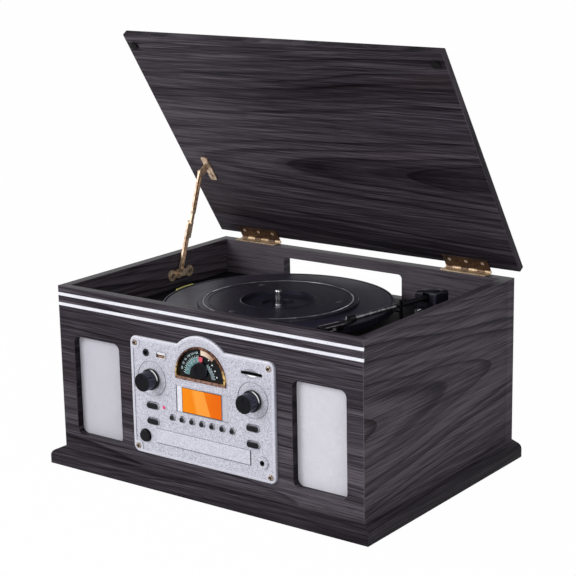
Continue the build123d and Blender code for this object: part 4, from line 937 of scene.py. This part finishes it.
# Soft studio: pale world, two large soft lamps, white floor that keeps the shadow, in metres
studio = {
    "world": 0.46,
    "key_lamp": ((-1.1, -2.2, 1.3), (0, 0, 0.2), (1.3, 1.0), 40.0),  # place, aim, size, power
    "fill_lamp": ((2.0, -1.3, 0.6), (0, 0, 0.15), (1.2, 1.0), 12.0),
    "floorSize": 40,
    "floorTop": -0.5 * mm,
    "floorWhite": (0.93, 0.93, 0.94, 1),
    "floorGlow": 0.985,
}


def lamp(name, place, aim, size, power):
    data = bpy.data.lights.new(name, "AREA")
    data.shape = "RECTANGLE"
    data.size, data.size_y = size
    data.energy = power
    thing = bpy.data.objects.new(name, data)
    scene.collection.objects.link(thing)
    thing.location = place
    thing.rotation_euler = (Vector(aim) - Vector(place)).to_track_quat("-Z", "Y").to_euler()


def directRay(tree):  # 1 for a ray from the camera, a shiny thing or a clear one, 0 for the rest
    path = tree.nodes.new("ShaderNodeLightPath")
    seen = path.outputs["Is Camera Ray"]
    for ray in ("Is Glossy Ray", "Is Transmission Ray"):
        most = tree.nodes.new("ShaderNodeMath")
        most.operation = "MAXIMUM"
        tree.links.new(seen, most.inputs[0])
        tree.links.new(path.outputs[ray], most.inputs[1])
        seen = most.outputs[0]
    return seen


def makeWorld():
    world = bpy.data.worlds.new("pale_studio")
    scene.world = world
    world.use_nodes = True
    tree = world.node_tree
    tree.nodes.clear()
    strength = tree.nodes.new("ShaderNodeMapRange")
    strength.inputs["To Min"].default_value = studio["world"]
    strength.inputs["To Max"].default_value = 1.0
    tree.links.new(directRay(tree), strength.inputs[0])
    back = tree.nodes.new("ShaderNodeBackground")
    back.inputs[0].default_value = (1, 1, 1, 1)
    tree.links.new(strength.outputs[0], back.inputs[1])
    out = tree.nodes.new("ShaderNodeOutputWorld")
    tree.links.new(back.outputs[0], out.inputs[0])


def makeFloor():
    bpy.ops.mesh.primitive_plane_add(size=studio["floorSize"], location=(0, 0, studio["floorTop"]))
    floor = bpy.context.object
    floor.name = "pale_floor"
    f = Finish("pale_floor", rough=0.9, colour=studio["floorWhite"])
    glow = f.node("ShaderNodeEmission", {})
    seen = Val(f, directRay(f.tree)) * studio["floorGlow"]
    both = f.node("ShaderNodeMixShader", {}, seen, Val(f, f.shader.outputs[0]), glow)
    f.put(f.out.inputs[0], both)
    floor.data.materials.append(f.mat)


makeCamera()
makeWorld()
for name in ("key_lamp", "fill_lamp"):
    lamp(name, *studio[name])
makeFloor()
scene.view_settings.view_transform = "Standard"
print("camera and studio done")


def addMesh(name, verts, faces, finish, body, smooth=False):
    data = bpy.data.meshes.new(name)
    data.from_pydata([tuple(v) for v in verts], [], faces)
    data.materials.append(finish.mat)
    made = bmesh.new()
    made.from_mesh(data)
    bmesh.ops.recalc_face_normals(made, faces=made.faces)
    made.to_mesh(data)
    made.free()
    for face in data.polygons:
        face.use_smooth = smooth
    thing = bpy.data.objects.new(name, data)
    scene.collection.objects.link(thing)
    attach(thing, body)
    return thing


def rowFaces(start, rows, count, closed):  # faces between rows of count points each
    faces = []
    for j in range(rows - 1):
        for k in range(count if closed else count - 1):
            a, b = start + j * count + k, start + j * count + (k + 1) % count
            faces.append((a, b, b + count, a + count))
    return faces


# Grille cloth, one stretched sheet in each window
cloth = {
    "x": 154.5 * mm,
    "wide": 81.0 * mm,
    "tall": 130.1 * mm,
    "middle": 97.35 * mm,
    "front": -144.7 * mm,
    "behind": 0.1 * mm,
    "steps": (48, 76),
    "bow": 0.5 * mm,
    "acrossEnds": (1.18, 4),  # how soon the bow ends towards the sides, and how suddenly
    "upEnds": (1.1, 6),
    "threads": 6200.0,
    "grey": (rgb(178, 176, 186), rgb(224, 222, 230)),
    # duller greys that the left cloth is blended towards, as painted shade
    "dust": (rgb(132, 130, 140), rgb(172, 170, 180)),
}


def clothFinish(name):
    f = Finish(name, rough=0.85, sheen=0.3, sheenRough=0.5)
    x, _, z = f.split()
    weave = ((x * cloth["threads"]).wave() * (z * cloth["threads"]).wave()) * 0.5 + 0.5
    slub = f.noise(f.stretch(1.0, 1.0, 14.0), 90.0, 3.0)
    slubAcross = f.noise(f.stretch(14.0, 1.0, 1.0), 90.0, 3.0)
    cloud = f.noise(f.place, 30.0, 2.0, 0.5)
    tone = weave * 0.45 + slub * 0.3 + slubAcross * 0.3 + cloud * 0.15
    # painted shade: the left cloth is darker
    leftPaintedShade = x.fit(100 * mm, -100 * mm) * 0.42
    colour = f.mix(tone.fit(0.25, 0.9), *cloth["grey"])
    f.feed(colour=f.mix(leftPaintedShade, colour, f.mix(weave, *cloth["dust"])))
    f.bump(weave * 0.7 + slub * 0.3, 0.4, 0.4 * mm)
    return f


def bowLeft(t, soon, sudden):  # 1 in the sheet's middle, 0 at its edge
    return 1 - min(1, abs(t) * soon) ** sudden


clothLook = clothFinish("grille_cloth")
for sideName, mid in (("left", -cloth["x"]), ("right", cloth["x"])):
    across, up = cloth["steps"]
    verts = []
    for j in range(up + 1):
        for i in range(across + 1):
            u, v = i / across * 2 - 1, j / up * 2 - 1
            sag = cloth["bow"] * bowLeft(u, *cloth["acrossEnds"]) * bowLeft(v, *cloth["upEnds"])
            px, pz = mid + u * cloth["wide"] / 2, cloth["middle"] + v * cloth["tall"] / 2
            verts.append((px, cloth["front"] + cloth["behind"] + sag, pz))
    faces = rowFaces(0, up + 1, across + 1, False)
    sheet = addMesh("grille_cloth_" + sideName, verts, faces, clothLook, "cabinet", True)
    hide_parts("grille_cloths")
print("grille cloths done")


# Radio scale: teal and grey fields, a cream patch of painted reflection, two rows of ticks with plain
# numbers, pale dots
dial = {
    "middle": 138.0 * mm,
    "face": -154.6 * mm,
    "tealField": (17.0 * mm, 22.6 * mm, 92, 176),  # radius from and to, angle from and to
    "greyField": (13.6 * mm, 17.2 * mm, 2, 62),
    "creamReflectionArc": (25.6 * mm, 32.2 * mm, 54, 91),
    "arcs": ((22.9 * mm, 23.35 * mm, 96, 176), (17.4 * mm, 17.8 * mm, 2, 66)),
    "ticks": ((23.2 * mm, 25.4 * mm, 100, 6, 13), (17.6 * mm, 19.4 * mm, 6, 9, 7)),  # first, step, count
    "tickWide": 0.5 * mm,
    "outerNumbers": ((88, 92, 96, 100, 104, 108), 28.1 * mm, 164, 104),  # radius, first and last angle
    "innerNumbers": ((6, 7, 9, 12, 16), 19.8 * mm, 160, 104),
    "numberSize": 3.4 * mm,
    "dots": ((10.4, 159.7), (15.1, 154.9), (18.9, 148.9), (21.2, 142.2)),
    "dotRadius": 0.95 * mm,
    "fieldProud": 0.02 * mm,
    "creamProud": 0.03 * mm,
    "inkProud": 0.05 * mm,
}


def onDial(radius, angle):  # angle in degrees from the right, round the dial's middle
    return (radius * cos(radians(angle)), dial["middle"] + radius * sin(radians(angle)))


def arcPatches(inner, outer, start, end, step=3.0):
    count = max(1, round(abs(end - start) / step))
    patches = []
    for i in range(count):
        a, b = start + (end - start) * i / count, start + (end - start) * (i + 1) / count
        patches.append([onDial(inner, a), onDial(outer, a), onDial(outer, b), onDial(inner, b)])
    return patches


def tickPatches(inner, outer, first, step, count):
    patches = []
    for angle in (first + step * k for k in range(count)):
        dx, dz = sin(radians(angle)) * dial["tickWide"] / 2, -cos(radians(angle)) * dial["tickWide"] / 2
        (ax, az), (bx, bz) = onDial(inner, angle), onDial(outer, angle)
        patches.append([(ax - dx, az - dz), (ax + dx, az + dz), (bx + dx, bz + dz), (bx - dx, bz - dz)])
    return patches


def dotPatches(spots, radius, sides=12):
    turns = [2 * pi * k / sides for k in range(sides)]
    return [[(px * mm + radius * cos(t), pz * mm + radius * sin(t)) for t in turns] for px, pz in spots]


def flatPatches(name, patches, proud, finish):  # points run in x and z, so the print faces the front
    verts, faces = [], []
    for patch in patches:
        faces.append(tuple(range(len(verts), len(verts) + len(patch))))
        verts += [(px, dial["face"] - proud, pz) for px, pz in patch]
    return addMesh(name, verts, faces, finish, "cabinet")


def numberRing(name, numbers, radius, start, end, finish):
    bits = bmesh.new()
    for k, number in enumerate(numbers):
        angle = start + (end - start) * k / (len(numbers) - 1)
        words = bpy.data.curves.new(name, "FONT")
        words.body = str(number)
        words.size = dial["numberSize"]
        words.align_x, words.align_y = "CENTER", "CENTER"
        drawn = bpy.data.objects.new(name, words)
        flat = bpy.data.meshes.new_from_object(drawn)
        px, pz = onDial(radius, angle)
        place = Matrix.Translation((px, dial["face"] - dial["inkProud"], pz))
        turn = Matrix.Rotation(radians(angle - 90), 4, "Z")
        flat.transform(place @ Matrix.Rotation(pi / 2, 4, "X") @ turn)
        bits.from_mesh(flat)
        bpy.data.objects.remove(drawn)
        bpy.data.curves.remove(words)
        bpy.data.meshes.remove(flat)
    data = bpy.data.meshes.new(name)
    bits.to_mesh(data)
    bits.free()
    data.materials.append(finish.mat)
    made = bpy.data.objects.new(name, data)
    scene.collection.objects.link(made)
    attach(made, "cabinet")


def printFinish(name, colour, wearAndHighlight):
    f = Finish(name, rough=0.35, specular=0.2)
    fine = f.noise(f.place, 700.0, 3.0)
    f.feed(colour=f.mix(fine.fit(0.35, 0.7), colour, wearAndHighlight))
    return f


# painted reflection: cream on the left, fading to brown towards the right
def creamFinish(name, left, right):
    f = Finish(name, rough=0.4, specular=0.2)
    fine = f.noise(f.place, 500.0, 3.0)
    f.feed(colour=f.mix(f.split()[0].fit(2 * mm, 19 * mm) * 0.85 + fine * 0.15, left, right))
    return f


tealPrint = printFinish("print_teal", rgb(112, 154, 158), rgb(38, 66, 72))
palePrint = printFinish("print_pale", rgb(206, 226, 226), rgb(150, 182, 184))
greyPrint = printFinish("print_grey", rgb(128, 142, 148), rgb(70, 82, 88))
whitePrint = printFinish("print_white", rgb(226, 230, 230), rgb(180, 188, 190))
paintedCreamReflection = creamFinish("painted_reflection_cream", rgb(234, 214, 194), rgb(140, 98, 66))
scaleLines = [patch for arc in dial["arcs"] for patch in arcPatches(*arc)]
scaleLines += [patch for ticks in dial["ticks"] for patch in tickPatches(*ticks)]
flatPatches("dial_teal_field", arcPatches(*dial["tealField"]), dial["fieldProud"], tealPrint)
flatPatches("dial_right_field", arcPatches(*dial["greyField"]), dial["fieldProud"], greyPrint)
flatPatches("dial_scale_lines", scaleLines, dial["inkProud"], palePrint)
flatPatches("dial_dots", dotPatches(dial["dots"], dial["dotRadius"]), dial["inkProud"], whitePrint)
numberRing("dial_outer_numbers", *dial["outerNumbers"], palePrint)
numberRing("dial_inner_numbers", *dial["innerNumbers"], whitePrint)
flatPatches("dial_cream_reflection", arcPatches(*dial["creamReflectionArc"]), dial["creamProud"], paintedCreamReflection)


# Red flag on the pointer: half width and height of its lower and its upper end, front and back
flag = {
    "ends": ((2.2 * mm, 156.6 * mm), (2.9 * mm, 161.8 * mm)),
    "depth": (-155.80 * mm, -155.55 * mm),
    "red": (rgb(186, 44, 66), rgb(222, 104, 124)),
}


def pointerFlag(finish):
    (low, lowZ), (high, highZ) = flag["ends"]
    outline = [(-low, lowZ), (low, lowZ), (high, highZ), (-high, highZ)]
    verts = [(px, y, pz) for y in flag["depth"] for px, pz in outline]
    faces = [(0, 1, 2, 3), (7, 6, 5, 4), (0, 4, 5, 1), (1, 5, 6, 2), (2, 6, 7, 3), (3, 7, 4, 0)]
    addMesh("pointer_flag", verts, faces, finish, "dial_pointer")


pointerFlag(printFinish("flag_red", *flag["red"]))

# Tongue and contacts inside the USB socket, each block as its lowest and highest corner in mm
usb = {
    "tongue": ((-61.6, -155.4, 155.2), (-50.6, -145.0, 157.2)),
    "contact": ((-0.55, -155.0, 154.8), (0.55, -146.0, 155.22)),
    "contactX": (-59.9, -57.4, -54.8, -52.3),
    "bar": ((-61.9, -155.0, 152.75), (-50.3, -146.0, 153.9)),
    "white": (rgb(226, 224, 228), rgb(246, 246, 248)),
    "bronze": (rgb(112, 84, 66), rgb(190, 158, 132)),
}


# Corners count up in x, then y, then z; the first face is the bottom
blockFaces = ((0, 2, 3, 1), (4, 5, 7, 6), (0, 1, 5, 4), (2, 6, 7, 3), (0, 4, 6, 2), (1, 3, 7, 5))


def blockPiece(name, blocks, finish):
    verts, faces = [], []
    for block in blocks:
        ends = [Vector(corner) * mm for corner in block]
        start = len(verts)
        verts += [(ends[i & 1][0], ends[i >> 1 & 1][1], ends[i >> 2 & 1][2]) for i in range(8)]
        faces += [tuple(start + k for k in face) for face in blockFaces]
    addMesh(name, verts, faces, finish, "cabinet")


contacts = [[(cx + dx, y, z) for dx, y, z in usb["contact"]] for cx in usb["contactX"]]
blockPiece("usb_tongue", [usb["tongue"]], plasticFinish("tongue_white", *usb["white"], 0.3, 0.03))
blockPiece("usb_contacts", contacts + [usb["bar"]], metalFinish("contact_bronze", *usb["bronze"], 0.3))
print("dial and sockets done")


# Things on the platter: knurled ring, three rubber bumps, speed tab on the rim
deckMarks = {
    "teeth": 250,
    "tooth": ((0.34, 0.0), (0.22, 0.25 * mm)),  # share of the pitch to each side and inset, foot and top
    "ring": (85.3 * mm, 86.9 * mm),
    "ringZ": (191.5 * mm, 192.05 * mm),
    "bumps": (22.0, 142.0, -98.0),
    "bumpAt": 72.0 * mm,
    "bumpSize": (4.4 * mm, 0.75 * mm),
    "tab": (-170.5, -184.0, 134.0 * mm, 136.2 * mm),  # angle from and to, radius from and to
    "tabZ": (186.9 * mm, 189.6 * mm),
}


def onPlatter(radius, angle, z):
    mx, my = platter["middle"]
    return (mx + radius * cos(radians(angle)), my + radius * sin(radians(angle)), z)


def knurledRing(finish):
    inner, outer = deckMarks["ring"]
    verts, faces = [], []
    pitch = 360 / deckMarks["teeth"]
    for k in range(deckMarks["teeth"]):
        start = len(verts)
        for z, (share, inset) in zip(deckMarks["ringZ"], deckMarks["tooth"]):
            for radius in (inner + inset, outer - inset):
                for side in (-pitch * share, pitch * share):
                    verts.append(onPlatter(radius, k * pitch + side, z))
        faces += [tuple(start + i for i in face) for face in blockFaces[1:]]
    addMesh("knurled_ring", verts, faces, finish, "platter")


def rubberBumps(finish, rings=5, sides=24):
    radius, tall = deckMarks["bumpSize"]
    verts, faces = [], []
    for angle in deckMarks["bumps"]:
        middle = Vector(onPlatter(deckMarks["bumpAt"], angle, platter["top"]))
        start = len(verts)
        for j in range(rings):
            t = j / rings * pi / 2
            for k in range(sides):
                spin = 2 * pi * k / sides
                step = Vector((cos(spin) * cos(t) * radius, sin(spin) * cos(t) * radius, sin(t) * tall))
                verts.append(middle + step)
        verts.append(middle + Vector((0, 0, tall)))
        faces += rowFaces(start, rings, sides, True)
        last = start + (rings - 1) * sides
        faces += [(last + k, last + (k + 1) % sides, len(verts) - 1) for k in range(sides)]
    addMesh("platter_bumps", verts, faces, finish, "platter", True)


def speedTab(finish, steps=8):
    a, b, inner, outer = deckMarks["tab"]
    low, high = deckMarks["tabZ"]
    verts = []
    for i in range(steps + 1):
        angle = a + (b - a) * i / steps
        for radius, z in ((inner, low), (outer, low), (outer, high), (inner, high)):
            verts.append(onPlatter(radius, angle, z))
    ends = [(0, 3, 2, 1), tuple(steps * 4 + k for k in range(4))]
    addMesh("speed_tab", verts, rowFaces(0, steps + 1, 4, True) + ends, finish, "platter")


knurledRing(metalFinish("knurl_grey", rgb(26, 25, 30), rgb(176, 174, 182), 0.3, 0.4, 0.0, 60.0))
rubberBumps(plasticFinish("bump_grey", rgb(44, 42, 50), rgb(96, 94, 104), 0.35, 0.04, specular=0.3))
speedTab(plasticFinish("tab_yellow", rgb(176, 172, 74), rgb(206, 202, 112), 0.45, 0.05, specular=0.2))
print("platter marks done")


# Tonearm housing: block across the arm with a falling top and a slot for the tube, lower weight behind it.
# All in mm, plans measured from the pivot: back from and to, side from and to, corner
housing = {
    "pivot": (152.0, 72.0),
    "way": (-0.15402, -0.98807),
    "block": (-12.4, 1.8, -18.0, 13.6, 3.6),
    "blockZ": (188.6, 210.4),
    "foot": ((0.0, 1.2), (0.9, 0.2), (1.8, 0.0)),  # height and inset
    "groove": (198.6, 0.5, 0.35, 0.4),  # middle, half height outside and inside, depth
    "topRound": 3.2,
    "fall": 3.4,
    "fallSide": (4.0, 22.0),  # the top falls to one side, from here over this far
    "fallFront": (0.3, 14.0),  # share of the fall towards the front, over this far
    "weight": (-2.0, 20.6, -9.4, 7.2, 3.6),
    "weightZ": (190.4, 205.6),
    "weightRound": 2.4,
    "shaft": (5.0, 165.5, 192.0),  # radius, from and to
    "slotHalf": 4.7,
    "slot": (-30.0, 12.2, 195.6, 205.4),  # back from and to, from and to
    "slotMouth": (-30.0, -2.5, 205.0, 206.9),
    "slotCorner": 0.4,
}


def onArm(back, side, z):
    (px, py), (wx, wy) = housing["pivot"], housing["way"]
    return Vector((px - back * wx - side * wy, py - back * wy + side * wx, z)) * mm


def roundedPlan(plan, inset, steps=6):  # corner points of a rounded rectangle, once round
    b0, b1, s0, s1, corner = plan
    corner = corner - inset * 0.5
    b0, b1, s0, s1 = b0 + inset + corner, b1 - inset - corner, s0 + inset + corner, s1 - inset - corner
    points = []
    for start, (mb, ms) in ((0, (b1, s1)), (90, (b0, s1)), (180, (b0, s0)), (270, (b1, s0))):
        for k in range(steps + 1):
            t = radians(start + 90 * k / steps)
            points.append((mb + corner * cos(t), ms + corner * sin(t)))
    return points


def fallAt(back, side):
    (from0, over), (share, deep) = housing["fallSide"], housing["fallFront"]
    return min(1.0, max(0.0, (from0 - side) / over)) + share * max(0.0, -back / deep)


def stackedBlock(plan, levels, fall=0.0):  # levels are height, inset, and whether the top's fall moves them
    made = bmesh.new()
    rings = []
    for z, inset, moved in levels:
        ring = []
        for back, side in roundedPlan(plan, inset):
            ring.append(made.verts.new(onArm(back, side, z - fall * moved * fallAt(back, side))))
        rings.append(ring)
    for below, above in zip(rings, rings[1:]):
        for k in range(len(below)):
            n = (k + 1) % len(below)
            made.faces.new((below[k], below[n], above[n], above[k]))
    made.faces.new(rings[0])
    made.faces.new(rings[-1])
    bmesh.ops.recalc_face_normals(made, faces=made.faces)
    data = bpy.data.meshes.new("block")
    made.to_mesh(data)
    made.free()
    return bpy.data.objects.new("block", data)


def carve(thing, other, how):
    scene.collection.objects.link(other)
    step = thing.modifiers.new(how, "BOOLEAN")
    step.object = other
    step.operation = how
    step.solver = "EXACT"
    bpy.context.view_layer.update()
    data = bpy.data.meshes.new_from_object(thing.evaluated_get(bpy.context.evaluated_depsgraph_get()))
    thing.modifiers.clear()
    old = thing.data
    thing.data = data
    bpy.data.meshes.remove(old)
    bpy.data.objects.remove(other)


def housingFinish(name):
    f = Finish(name, specular=0.22, coatRough=0.12)
    nx, ny, _ = f.facing()
    fine = f.noise(f.place, 1300.0)
    dust = f.noise(f.place, 210.0, 3.0).fit(0.38, 0.75)
    # painted sheen: faces turned to the front right are paler and bluish, with more coat
    front = (nx * 0.6 - ny * 0.8).fit(0.75, 1.0)
    colour = f.mix(dust * 0.5 + fine * 0.2, rgb(13, 12, 18), rgb(38, 36, 48))
    colour = f.mix(front * 0.5, colour, rgb(62, 62, 82))
    f.feed(colour=colour, rough=fine * 0.14 + dust * 0.1 + 0.26, coat=front * 0.4 + 0.1)
    f.bump(fine, 0.06)
    return f


def roundedEdge(size, angles):  # inset and rise along a quarter round
    return [(size * (1 - cos(radians(t))), size * sin(radians(t))) for t in angles]


def housingBlock():
    low, high = housing["blockZ"]
    middle, half, halfIn, deep = housing["groove"]
    size = housing["topRound"]
    levels = [(low + up, inset, 0) for up, inset in housing["foot"]]
    steps = ((-half, 0), (-halfIn, deep), (halfIn, deep), (half, 0))
    levels += [(middle + up, inset, 0) for up, inset in steps]
    levels += [(high - size + up, inset, 1) for inset, up in roundedEdge(size, range(0, 91, 18))]
    return stackedBlock(housing["block"], levels, housing["fall"])


def weightBlock():
    low, high = housing["weightZ"]
    size = housing["weightRound"]
    edge = roundedEdge(size, (0, 22, 45, 67, 90))
    levels = [(low + size - up, inset, 0) for inset, up in reversed(edge)]
    levels += [(high - size + up, inset, 0) for inset, up in edge]
    return stackedBlock(housing["weight"], levels)


def slotBlock(start, end, low, high):
    half = housing["slotHalf"]
    return stackedBlock((start, end, -half, half, housing["slotCorner"]), [(low, 0, 0), (high, 0, 0)])


def tonearmHousing(finish):
    block = housingBlock()
    block.name = "tonearm_housing"
    scene.collection.objects.link(block)
    carve(block, weightBlock(), "UNION")
    radius, low, high = housing["shaft"]
    plan = (-radius, radius, -radius, radius, radius - 0.01)
    carve(block, stackedBlock(plan, [(low, 0, 0), (high, 0, 0)]), "UNION")
    carve(block, slotBlock(*housing["slot"]), "DIFFERENCE")
    carve(block, slotBlock(*housing["slotMouth"]), "DIFFERENCE")
    block.data.materials.clear()
    block.data.materials.append(finish.mat)
    for face in block.data.polygons:
        face.use_smooth = True
    block.data.set_sharp_from_angle(angle=radians(32))
    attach(block, "arm_housing")
    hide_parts("tonearm_yoke")


tonearmHousing(housingFinish("housing_black"))
print("tonearm housing done")
